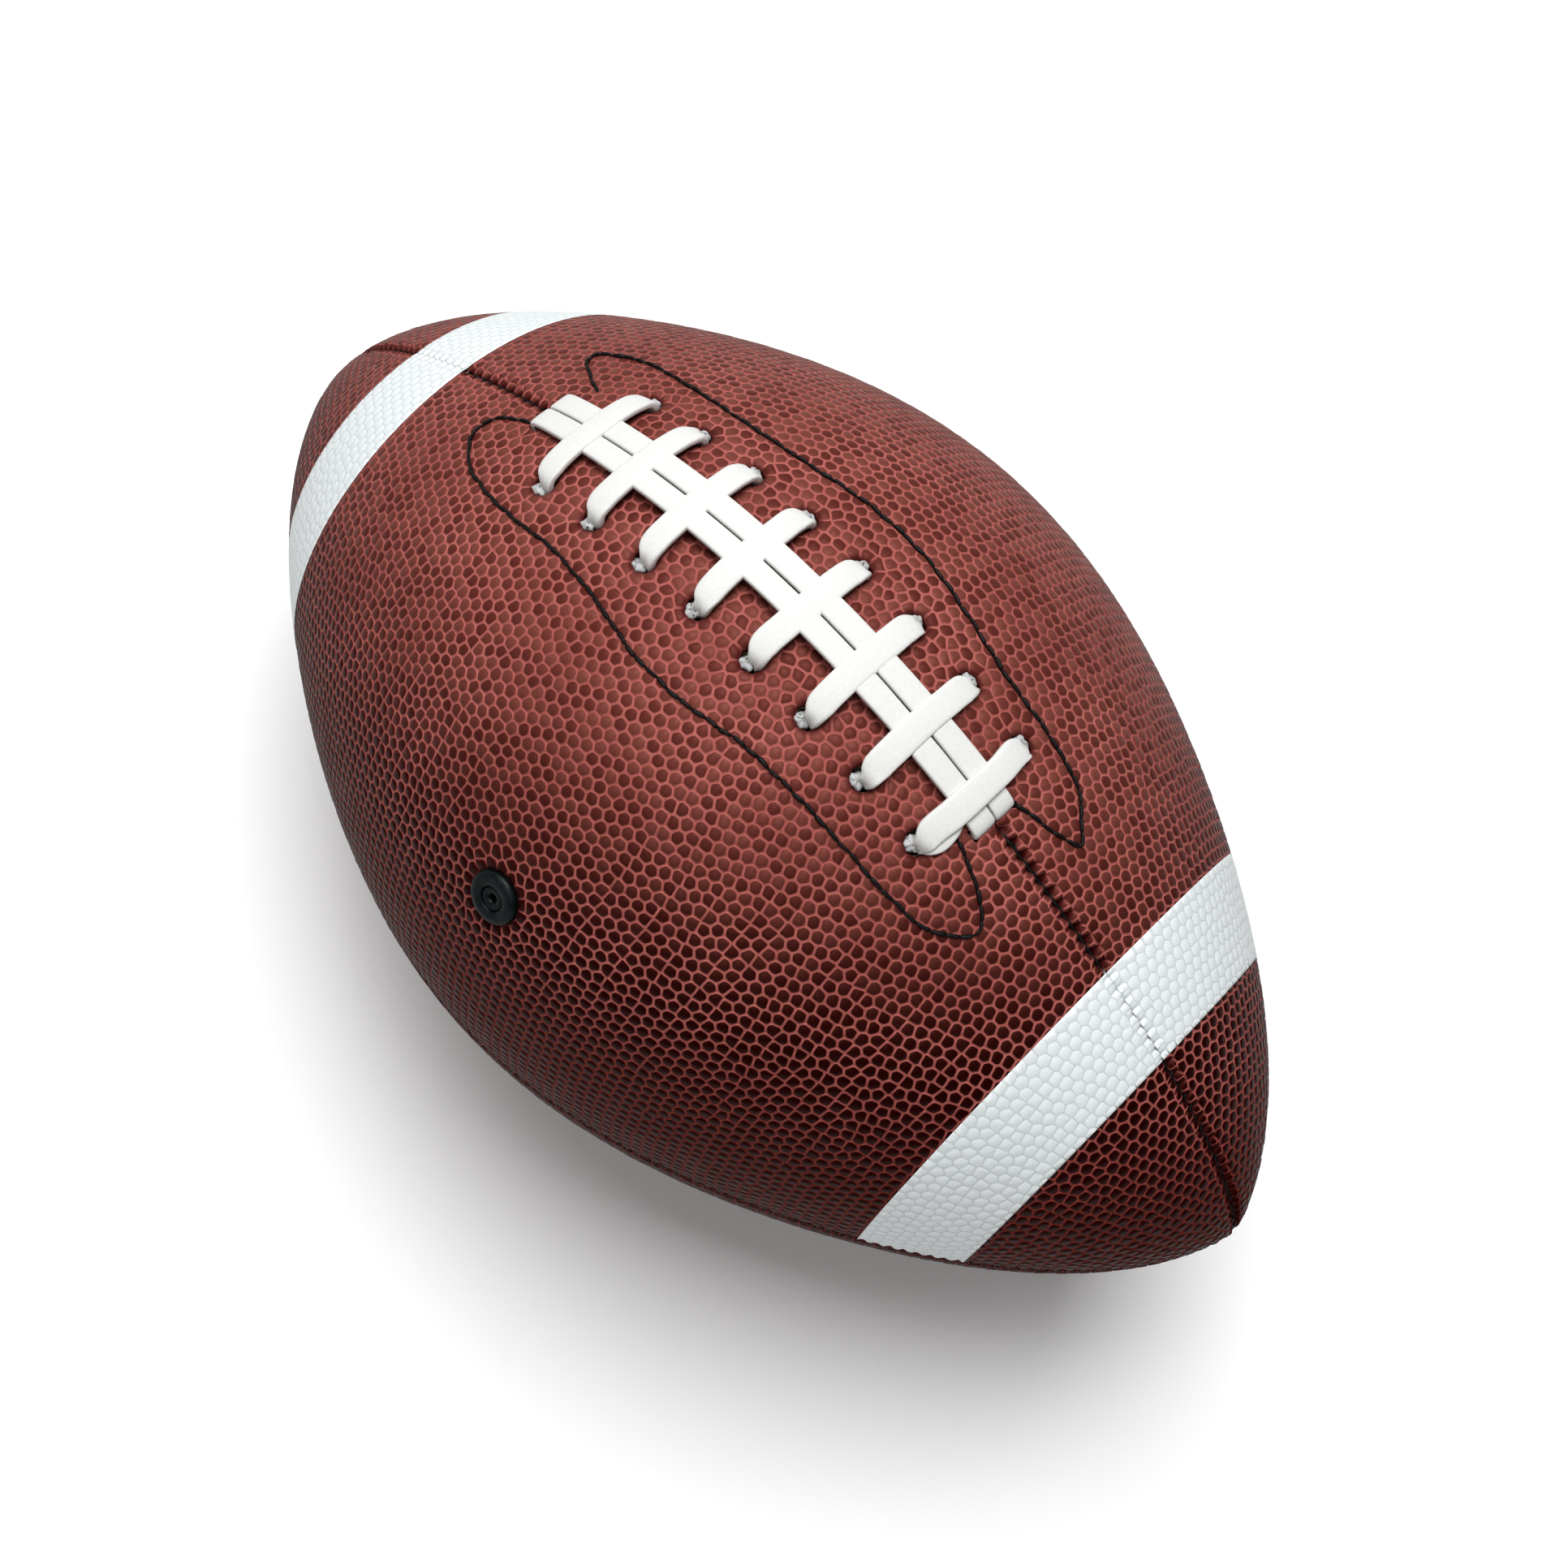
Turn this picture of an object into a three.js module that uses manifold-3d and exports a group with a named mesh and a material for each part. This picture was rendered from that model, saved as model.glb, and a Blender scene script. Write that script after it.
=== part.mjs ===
import * as THREE from 'three';
import { mergeVertices } from 'three/addons/utils/BufferGeometryUtils.js';
import Module from 'manifold-3d';

// A laced American football: four leather panels over a cloth lining and a rubber bladder.
// Millimetres. The origin is the centre of the ball, +X runs along its length and +Z points
// up through the lacing. Left is the -Y side and right is the +Y side; front is the +X end.

// Ball: the radius at a share u of the half length is the belly radius times
// (1 - u^2)^tipPower * (1 - shoulderTaper u^2 + endFullness u^4).
const ballLength = 284;
const ballDiameter = 171;
const tipPower = 0.72;
const shoulderTaper = 0.22;
const endFullness = 0.26;

// Walls, from the outside in
const coverThickness = 1.8;
const liningThickness = 0.8;
const facingThickness = 1.2;
const tongueThickness = 1.2;
const bladderThickness = 1.0;
const layerGap = 0.3;

// Seams between the panels
const seamGap = 0.3;
const seamGrooveWidth = 2.6;
const seamThreadDiameter = 0.8;
const seamThreadDepth = 0.4;

// Painted bands near the two ends
const stripeFromTip = 34.8;
const stripeWidth = 18.1;
const stripeThickness = 0.3;

// Lacing: one flat lace makes two long strands over the slit and then a row of cross bars
const laceWidth = 5;
const laceThickness = 1.2;
const crossBarCount = 8;
const crossBarPitch = 14.1;
const rowCentre = 1.8;
const holeFromSeam = 13.7;
const holeDiameter = 4.6;
const holeClearance = 0.7;
const strandGap = 0.7;
const slotPastLastBar = 5.8;
const slotBeforeFirstBar = 13.5;
const slotLength = 4.4;

// Facings sewn behind the two rows of lace holes, and the tongue under the lacing
const facingMargin = 2.5;
const facingThreadDiameter = 0.7;
const tonguePastSlots = 15;
const tongueHalfAngle = 15;

// Valve, on the left laced panel
const valveAngle = 145;
const valveFaceDiameter = 11;
const valveHoleClearance = 0.5;
const valveProud = 0.3;
const valveFlangeDiameter = 22;
const valveFlangeThickness = 1.2;
const valveNeckLength = 9;
const valvePatchDiameter = 29;
const valvePatchThickness = 0.8;
const plugHeadDiameter = 6;
const plugStemDiameter = 4.4;
const needleHoleDiameter = 1.6;

// Facets: rows from end to end, columns across each panel
const rowCount = 22;
const panelColumns = 6;
const lastRowAngle = 87.5;

const halfLength = ballLength / 2;
const bellyRadius = ballDiameter / 2;
const degree = Math.PI / 180;
const topSeam = 90;

// The most that a flat facet can lie below the curved surface, at the belly
const rowChord = halfLength * Math.sin(((2 * lastRowAngle) / rowCount) * degree);
const lengthwiseRadius = halfLength ** 2 / (2 * bellyRadius * (tipPower + shoulderTaper));
const columnSag = bellyRadius * (1 - Math.cos((45 / panelColumns) * degree));
const facetSag = columnSag + rowChord ** 2 / (8 * lengthwiseRadius);

// Depths of each layer's outer face below the surface of the ball
const liningDepth = coverThickness + layerGap;
const facingDepth = liningDepth + liningThickness + layerGap;
const bladderDepth = facingDepth;
const facingInner = facingDepth + facingThickness + facetSag;
const innerLaceDepth = facingInner + layerGap + laceThickness / 2;
const tongueDepth = innerLaceDepth + laceThickness / 2 + 2 * layerGap;
const bladderDent = tongueDepth + tongueThickness + layerGap - bladderDepth;

// Places along the ball of the cross bars and of the slots where the long strands end
const lastBar = rowCentre + ((crossBarCount - 1) / 2) * crossBarPitch;
const firstBar = 2 * rowCentre - lastBar;
const slotFront = lastBar + slotPastLastBar;
const slotRear = firstBar - slotBeforeFirstBar;
const strandFromSeam = (laceWidth + strandGap) / 2;

const wasm = await Module();
wasm.setup();

const leather = { color: 0x7a3a30, roughness: 0.75, metalness: 0 };
const whitePaint = { color: 0xe9e7e1, roughness: 0.55, metalness: 0 };
const laceCord = { color: 0xe4e1da, roughness: 0.6, metalness: 0 };
const blackThread = { color: 0x17171a, roughness: 0.7, metalness: 0 };
const cottonCloth = { color: 0xc9c1ae, roughness: 0.95, metalness: 0 };
const facingLeather = { color: 0x5b3026, roughness: 0.85, metalness: 0 };
const blackRubber = { color: 0x1b1b1d, roughness: 0.5, metalness: 0 };
const bladderRubber = { color: 0x33302e, roughness: 0.6, metalness: 0 };

function profile(u) {
  return Math.pow(1 - u * u, tipPower) * (1 - shoulderTaper * u * u + endFullness * u ** 4);
}

// A point at a share u of the half length, an angle from +Y towards +Z in degrees,
// and a depth below the surface. A negative depth is above it.
function ballPoint(u, angle, depth) {
  const radius = (bellyRadius - depth) * profile(u);
  const turn = angle * degree;
  return new THREE.Vector3((halfLength - depth) * u, radius * Math.cos(turn), radius * Math.sin(turn));
}

// The same surface measured from the lace seam: x along the ball, and an arc length across
// it that is positive to the right.
function laceSidePoint(x, arc, depth) {
  const u = x / halfLength;
  const angle = topSeam - arc / (bellyRadius * profile(u)) / degree;
  return ballPoint(u, angle, depth);
}

// Rows of every layer, as shares of the half length, so that nested facets stay parallel.
const recessClearance = 0.3;
const recessSlope = 0.2;
const stripeOuter = halfLength - stripeFromTip;
const stripeInner = stripeOuter - stripeWidth;
const recessInner = stripeInner - recessClearance;
const recessOuter = stripeOuter + recessClearance;
const recessDepth = stripeThickness + layerGap;

function makeStations() {
  const edges = [recessInner, recessOuter];
  const nearEdge = (x) => edges.some((edge) => Math.abs(Math.abs(x) - edge) < 3);
  const rows = [];
  for (let i = 0; i <= rowCount; i += 1) {
    const x = halfLength * Math.sin(((2 * i) / rowCount - 1) * lastRowAngle * degree);
    if (!nearEdge(x)) rows.push({ x, recessed: Math.abs(x) > recessInner && Math.abs(x) < recessOuter });
  }
  for (const side of [-1, 1]) {
    rows.push({ x: side * (recessInner - recessSlope), recessed: false });
    rows.push({ x: side * recessInner, recessed: true });
    rows.push({ x: side * recessOuter, recessed: true });
    rows.push({ x: side * (recessOuter + recessSlope), recessed: false });
  }
  rows.sort((a, b) => a.x - b.x);
  return rows.map((row) => ({ u: row.x / halfLength, recessed: row.recessed }));
}

const stations = makeStations();

function indexedGeometry(positions, indices) {
  const geometry = new THREE.BufferGeometry();
  geometry.setAttribute('position', new THREE.Float32BufferAttribute(positions, 3));
  geometry.setIndex(indices);
  geometry.computeVertexNormals();
  return geometry;
}

// A closed wall between an outer and an inner grid of points, with a rim on all four sides.
function wallGeometry(rows, columns, outer, inner) {
  const positions = [];
  const indices = [];
  for (const place of [outer, inner]) {
    for (let row = 0; row <= rows; row += 1) {
      for (let column = 0; column <= columns; column += 1) {
        positions.push(...place(row, column).toArray());
      }
    }
  }
  const out = (row, column) => row * (columns + 1) + column;
  const back = (row, column) => (rows + 1) * (columns + 1) + out(row, column);
  const quad = (a, b, c, d) => indices.push(a, b, c, a, c, d);
  for (let r = 0; r < rows; r += 1) {
    for (let c = 0; c < columns; c += 1) {
      quad(out(r, c), out(r, c + 1), out(r + 1, c + 1), out(r + 1, c));
      quad(back(r, c), back(r + 1, c), back(r + 1, c + 1), back(r, c + 1));
    }
    quad(out(r, 0), out(r + 1, 0), back(r + 1, 0), back(r, 0));
    quad(out(r + 1, columns), out(r, columns), back(r, columns), back(r + 1, columns));
  }
  for (let c = 0; c < columns; c += 1) {
    quad(out(0, c + 1), out(0, c), back(0, c), back(0, c + 1));
    quad(out(rows, c), out(rows, c + 1), back(rows, c + 1), back(rows, c));
  }
  return indexedGeometry(positions, indices);
}

function toSolid(geometry) {
  const bare = geometry.clone();
  bare.deleteAttribute('normal');
  bare.deleteAttribute('uv');
  const merged = mergeVertices(bare, 1e-5);
  return new wasm.Manifold(new wasm.Mesh({
    numProp: 3,
    vertProperties: new Float32Array(merged.attributes.position.array),
    triVerts: new Uint32Array(merged.index.array),
  }));
}

function toGeometry(solid) {
  const mesh = solid.getMesh();
  return indexedGeometry(Array.from(mesh.vertProperties), Array.from(mesh.triVerts));
}

function cutAway(geometry, cutters) {
  let solid = toSolid(geometry);
  for (const cutter of cutters) solid = solid.subtract(toSolid(cutter));
  return toGeometry(solid);
}

// One layer of one panel, between two seams. The angle that a seam's half gap takes up grows
// towards the tips, and stays a share of the panel there.
const tipGapShare = 0.35;

function columnAngle(seamAngle, u, halfGap, share) {
  const radius = bellyRadius * profile(u);
  const inset = Math.asin(Math.min(halfGap / radius, tipGapShare)) / degree;
  return seamAngle + inset + (90 - 2 * inset) * share;
}

function panelGeometry(seamAngle, rows, faces) {
  const place = (depthAt, halfGap) => (row, column) => {
    const { u } = rows[row];
    return ballPoint(u, columnAngle(seamAngle, u, halfGap, column / panelColumns), depthAt(rows[row]));
  };
  return wallGeometry(
    rows.length - 1,
    panelColumns,
    place(faces.outerDepth, faces.outerHalfGap),
    place(faces.innerDepth, faces.innerHalfGap),
  );
}

// Cutters for the lace holes, the two end slots of the lacing and the valve: each is made
// round or along the Y axis, with its X side kept in line with the ball's length.
function alongDepth(geometry, outerPoint, innerPoint) {
  const axis = outerPoint.clone().sub(innerPoint).normalize();
  const lengthwise = new THREE.Vector3(1, 0, 0).addScaledVector(axis, -axis.x).normalize();
  const sideways = new THREE.Vector3().crossVectors(lengthwise, axis);
  geometry.applyMatrix4(new THREE.Matrix4().makeBasis(lengthwise, axis, sideways));
  const middle = outerPoint.clone().add(innerPoint).multiplyScalar(0.5);
  return geometry.translate(middle.x, middle.y, middle.z);
}

const cutterDepth = innerLaceDepth;
const crossBars = Array.from({ length: crossBarCount }, (_, i) => firstBar + i * crossBarPitch);

function laceHoleCutters(side) {
  return crossBars.map((x) => {
    const arc = side * holeFromSeam;
    const radius = holeDiameter / 2;
    const cylinder = new THREE.CylinderGeometry(radius, radius, 3 * cutterDepth, 10);
    return alongDepth(cylinder, laceSidePoint(x, arc, -cutterDepth), laceSidePoint(x, arc, cutterDepth));
  });
}

function slotCutters() {
  const width = 2 * (strandFromSeam + laceWidth / 2 + layerGap);
  return [slotRear, slotFront].map((x) => {
    const block = new THREE.BoxGeometry(slotLength, 3 * cutterDepth, width);
    return alongDepth(block, laceSidePoint(x, 0, -cutterDepth), laceSidePoint(x, 0, cutterDepth));
  });
}

function valveCutter(diameter) {
  const cylinder = new THREE.CylinderGeometry(diameter / 2, diameter / 2, 4 * cutterDepth, 24);
  return alongDepth(cylinder, ballPoint(0, valveAngle, -cutterDepth), ballPoint(0, valveAngle, cutterDepth));
}

const group = new THREE.Group();

function addPart(name, geometry, finish) {
  const mesh = new THREE.Mesh(geometry, new THREE.MeshStandardMaterial(finish));
  mesh.name = name;
  group.add(mesh);
  return mesh;
}

// Panels: two beside the lacing and two plain ones below
const valveHoleDiameter = valveFaceDiameter + 2 * valveHoleClearance;
const panels = [
  { name: 'laced_right', seamAngle: 0, laceSide: 1 },
  { name: 'laced_left', seamAngle: 90, laceSide: -1, hasValve: true },
  { name: 'plain_left', seamAngle: 180, laceSide: 0 },
  { name: 'plain_right', seamAngle: 270, laceSide: 0 },
];

function panelCutters(panel) {
  const cutters = panel.laceSide ? [...laceHoleCutters(panel.laceSide), ...slotCutters()] : [];
  if (panel.hasValve) cutters.push(valveCutter(valveHoleDiameter));
  return cutters;
}

function coverPanel(panel) {
  const geometry = panelGeometry(panel.seamAngle, stations, {
    outerDepth: (row) => (panel.laceSide && row.recessed ? recessDepth : 0),
    innerDepth: () => coverThickness,
    outerHalfGap: seamGrooveWidth / 2,
    innerHalfGap: seamGap / 2,
  });
  return cutAway(geometry, panelCutters(panel));
}

function liningPanel(panel) {
  const geometry = panelGeometry(panel.seamAngle, stations, {
    outerDepth: () => liningDepth,
    innerDepth: () => liningDepth + liningThickness,
    outerHalfGap: seamGap / 2,
    innerHalfGap: seamGap / 2,
  });
  return cutAway(geometry, panelCutters(panel));
}

for (const panel of panels) {
  addPart(`cover_panel_${panel.name}`, coverPanel(panel), leather);
  addPart(`lining_panel_${panel.name}`, liningPanel(panel), cottonCloth);
}

// Stripes: thin films let into the laced panels near both ends
function stripeGeometry(panel, end) {
  const rows = stations.filter((row) => row.recessed && Math.sign(row.u) === end);
  const films = rows.map((row) => ({ u: row.u }));
  films[0].u += recessClearance / halfLength;
  films[films.length - 1].u -= recessClearance / halfLength;
  return panelGeometry(panel.seamAngle, films, {
    outerDepth: () => 0,
    innerDepth: () => stripeThickness,
    outerHalfGap: seamGrooveWidth / 2 + recessClearance,
    innerHalfGap: seamGrooveWidth / 2 + recessClearance,
  });
}

for (const panel of panels.filter((each) => each.laceSide)) {
  const side = panel.laceSide > 0 ? 'right' : 'left';
  addPart(`stripe_front_${side}`, stripeGeometry(panel, 1), whitePaint);
  addPart(`stripe_rear_${side}`, stripeGeometry(panel, -1), whitePaint);
}

// Round thread along a curve
function threadGeometry(points, diameter, steps) {
  const sides = 6;
  const section = new THREE.Shape();
  for (let i = 0; i < sides; i += 1) {
    const turn = (i / sides) * 2 * Math.PI;
    const draw = i === 0 ? 'moveTo' : 'lineTo';
    section[draw]((diameter / 2) * Math.cos(turn), (diameter / 2) * Math.sin(turn));
  }
  section.closePath();
  const extrudePath = new THREE.CatmullRomCurve3(points, false, 'centripetal');
  return new THREE.ExtrudeGeometry(section, { steps, bevelEnabled: false, extrudePath });
}

// Seam threads: each lies in the groove between two panels. The lace seam has two, one
// from each tip to the nearest end slot.
const threadTipAngle = 80;
const threadFromSlot = 3;

function seamThread(angle, fromX, toX) {
  const points = [];
  const spans = 24;
  const start = Math.asin(fromX / halfLength);
  const end = Math.asin(toX / halfLength);
  for (let i = 0; i <= spans; i += 1) {
    points.push(ballPoint(Math.sin(start + ((end - start) * i) / spans), angle, seamThreadDepth));
  }
  return threadGeometry(points, seamThreadDiameter, Math.ceil((toX - fromX) / 7));
}

const threadTip = halfLength * Math.sin(threadTipAngle * degree);
const frontThreadStart = slotFront + slotLength / 2 + threadFromSlot;
const rearThreadEnd = slotRear - slotLength / 2 - threadFromSlot;
addPart('seam_thread_lace_front', seamThread(topSeam, frontThreadStart, threadTip), blackThread);
addPart('seam_thread_lace_rear', seamThread(topSeam, -threadTip, rearThreadEnd), blackThread);
addPart('seam_thread_left', seamThread(180, -threadTip, threadTip), blackThread);
addPart('seam_thread_right', seamThread(0, -threadTip, threadTip), blackThread);
addPart('seam_thread_bottom', seamThread(270, -threadTip, threadTip), blackThread);

// Outlines of the facings' stitching, as cross bars from the middle of the row and
// millimetres outside the line of lace holes
const stitchOutlines = {
  left: [
    [-4.8, -9], [-5.05, -6.6], [-5.15, -2.2], [-4.85, 3.3], [-4.25, 7.1], [-3.4, 8.7], [-2.5, 9.1],
    [-1.55, 11.3], [-0.55, 14.1], [0.3, 13.9], [1.3, 11.5], [2.7, 10.5], [3.85, 9.7], [4.4, 7.3],
    [4.75, 1.3], [4.5, -2.2], [4.25, -4.9],
  ],
  right: [
    [-4.7, -3.2], [-5.05, 1.5], [-5, 5.1], [-4.7, 7.8], [-4.25, 9.6], [-3.4, 9.5], [-2.25, 9.2],
    [-1.1, 10.3], [-0.15, 12.3], [0.85, 12.5], [1.8, 10.1], [2.7, 7.5], [3.7, 6.3], [4.35, 4.1],
    [4.65, 0.3], [4.85, -3.7], [4.55, -5.8], [4.25, -7.4],
  ],
};

function outlinePoints(name, margin) {
  return stitchOutlines[name].map(([bars, outside]) => [
    rowCentre + bars * crossBarPitch + Math.sign(bars) * margin,
    holeFromSeam + outside + margin,
  ]);
}

function facingThread(name, side) {
  const height = layerGap + facingThreadDiameter / 2;
  const points = outlinePoints(name, 0).map(([x, arc]) => laceSidePoint(x, side * arc, -height));
  const smooth = new THREE.CatmullRomCurve3(points, false, 'centripetal').getPoints(90);
  return threadGeometry(smooth, facingThreadDiameter, 44);
}

// A facing is a strip of the panel's inner layer trimmed to its stitching plus a margin.
function facingPrism(name, side) {
  const corners = outlinePoints(name, facingMargin).map(([x, arc]) => new THREE.Vector2(x, side * arc));
  const first = corners[0];
  const last = corners[corners.length - 1];
  const closed = [new THREE.Vector2(first.x, 0), ...corners, new THREE.Vector2(last.x, 0)];
  const shape = new THREE.Shape(side > 0 ? closed.reverse() : closed);
  const prism = new THREE.ExtrudeGeometry(shape, { depth: bellyRadius, bevelEnabled: false });
  return prism.translate(0, 0, bellyRadius / 4);
}

function facing(name, panel) {
  const side = panel.laceSide;
  const layer = panelGeometry(panel.seamAngle, stations, {
    outerDepth: () => facingDepth,
    innerDepth: () => facingDepth + facingThickness,
    outerHalfGap: seamGap / 2,
    innerHalfGap: seamGap / 2,
  });
  const trimmed = toSolid(layer).intersect(toSolid(facingPrism(name, side)));
  return cutAway(toGeometry(trimmed), [...laceHoleCutters(side), ...slotCutters()]);
}

addPart('lace_facing_left', facing('left', panels[1]), facingLeather);
addPart('lace_facing_right', facing('right', panels[0]), facingLeather);
addPart('facing_thread_left', facingThread('left', -1), blackThread);
addPart('facing_thread_right', facingThread('right', 1), blackThread);

// Tongue: a soft strip that keeps the lace off the bladder
function tongue() {
  const rear = (slotRear - tonguePastSlots) / halfLength;
  const front = (slotFront + tonguePastSlots) / halfLength;
  const rows = stations.filter(({ u }) => u > rear && u < front);
  const columns = 4;
  const at = (depth) => (row, column) => {
    const angle = topSeam + tongueHalfAngle * ((2 * column) / columns - 1);
    return ballPoint(rows[row].u, angle, depth);
  };
  return wallGeometry(rows.length - 1, columns, at(tongueDepth), at(tongueDepth + tongueThickness));
}

addPart('lace_tongue', tongue(), facingLeather);

// Bladder: hollow, pressed in under the lacing, and open where the valve passes through.
const dentArc = 27;
const dentArcFade = 26;
const dentReach = tonguePastSlots + 8;
const dentReachFade = 34;

function dentShare(x, arc) {
  const across = 1 - THREE.MathUtils.smoothstep(Math.abs(arc), dentArc, dentArc + dentArcFade);
  const past = Math.max(x - slotFront, slotRear - x);
  const along = 1 - THREE.MathUtils.smoothstep(past, dentReach, dentReach + dentReachFade);
  return across * along;
}

function balloon(depth) {
  const columns = 4 * panelColumns;
  const positions = [];
  const indices = [];
  const shares = [-1, ...stations.map(({ u }) => u), 1];
  for (const u of shares) {
    for (let column = 0; column < columns; column += 1) {
      const angle = (column / columns) * 360;
      const arc = (angle - topSeam) * degree * bellyRadius * profile(u);
      const dent = bladderDent * dentShare(u * halfLength, angle <= 270 ? arc : arc - 360);
      positions.push(...ballPoint(u, angle, depth + dent).toArray());
    }
  }
  for (let row = 0; row < shares.length - 1; row += 1) {
    for (let column = 0; column < columns; column += 1) {
      const next = (column + 1) % columns;
      const a = row * columns + column;
      const b = row * columns + next;
      const c = (row + 1) * columns + next;
      const d = (row + 1) * columns + column;
      if (row > 0) indices.push(a, b, c);
      if (row < shares.length - 2) indices.push(a, c, d);
    }
  }
  return indexedGeometry(positions, indices);
}

const bladderSkin = balloon(bladderDepth);
const bladderHollow = balloon(bladderDepth + bladderThickness);
addPart('bladder', cutAway(bladderSkin, [bladderHollow, valveCutter(valveHoleDiameter)]), bladderRubber);

// Valve: a rubber housing with a flange inside the bladder, a patch ring above the flange,
// and a self-closing plug in its bore. Heights run along the valve's axis from its face.
function valvePart(name, profilePoints, finish) {
  const points = profilePoints.map(([radius, height]) => new THREE.Vector2(radius, height)).reverse();
  const geometry = new THREE.LatheGeometry([...points, points[0].clone()], 24);
  const face = ballPoint(0, valveAngle, -valveProud);
  const mesh = addPart(name, geometry, finish);
  mesh.quaternion.setFromUnitVectors(new THREE.Vector3(0, 1, 0), face.clone().normalize());
  mesh.position.copy(face);
}

const patchRadius = valvePatchDiameter / 2;
const boreRadius = plugHeadDiameter / 2 + layerGap;
const stemBoreRadius = plugStemDiameter / 2 + layerGap;
const headDepth = 1.6;
const bladderInner = bladderDepth + bladderThickness;
const bladderInnerRadius = bellyRadius - bladderInner;
const patchSag = bladderInnerRadius - Math.sqrt(bladderInnerRadius ** 2 - patchRadius ** 2);
const patchTop = -(valveProud + bladderInner + patchSag + facetSag + layerGap);
const flangeTop = patchTop - valvePatchThickness - layerGap;
const neckBottom = flangeTop - valveFlangeThickness - valveNeckLength;
const neckRadius = valveFaceDiameter / 2;
const flangeRadius = valveFlangeDiameter / 2;

valvePart('valve_housing', [
  [boreRadius, 0], [neckRadius, 0], [neckRadius, flangeTop], [flangeRadius, flangeTop],
  [flangeRadius, flangeTop - valveFlangeThickness], [neckRadius, flangeTop - valveFlangeThickness],
  [neckRadius - 1.5, neckBottom], [stemBoreRadius, neckBottom], [stemBoreRadius, -headDepth - layerGap],
  [boreRadius, -headDepth - layerGap],
], blackRubber);

valvePart('valve_patch', [
  [neckRadius + layerGap, patchTop], [patchRadius, patchTop],
  [patchRadius, patchTop - valvePatchThickness], [neckRadius + layerGap, patchTop - valvePatchThickness],
], bladderRubber);

valvePart('valve_plug', [
  [needleHoleDiameter / 2, 0], [plugHeadDiameter / 2, 0], [plugHeadDiameter / 2, -headDepth],
  [plugStemDiameter / 2, -headDepth], [plugStemDiameter / 2, neckBottom],
  [needleHoleDiameter / 2, neckBottom],
], blackRubber);

// Lace: one flat band. Each stop is [x, arc, depth, turn, squeeze]: turn is the angle of the
// band's width from the X axis, and squeeze is 1 where it is gathered to pass a hole.
const holeBandWidth = holeDiameter - 2 * holeClearance;
const holeBandThickness = 1.5;
const onTop = -(layerGap + laceThickness / 2);
const overStrands = onTop - laceThickness - layerGap - 0.05;
const tailLength = 12;

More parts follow.
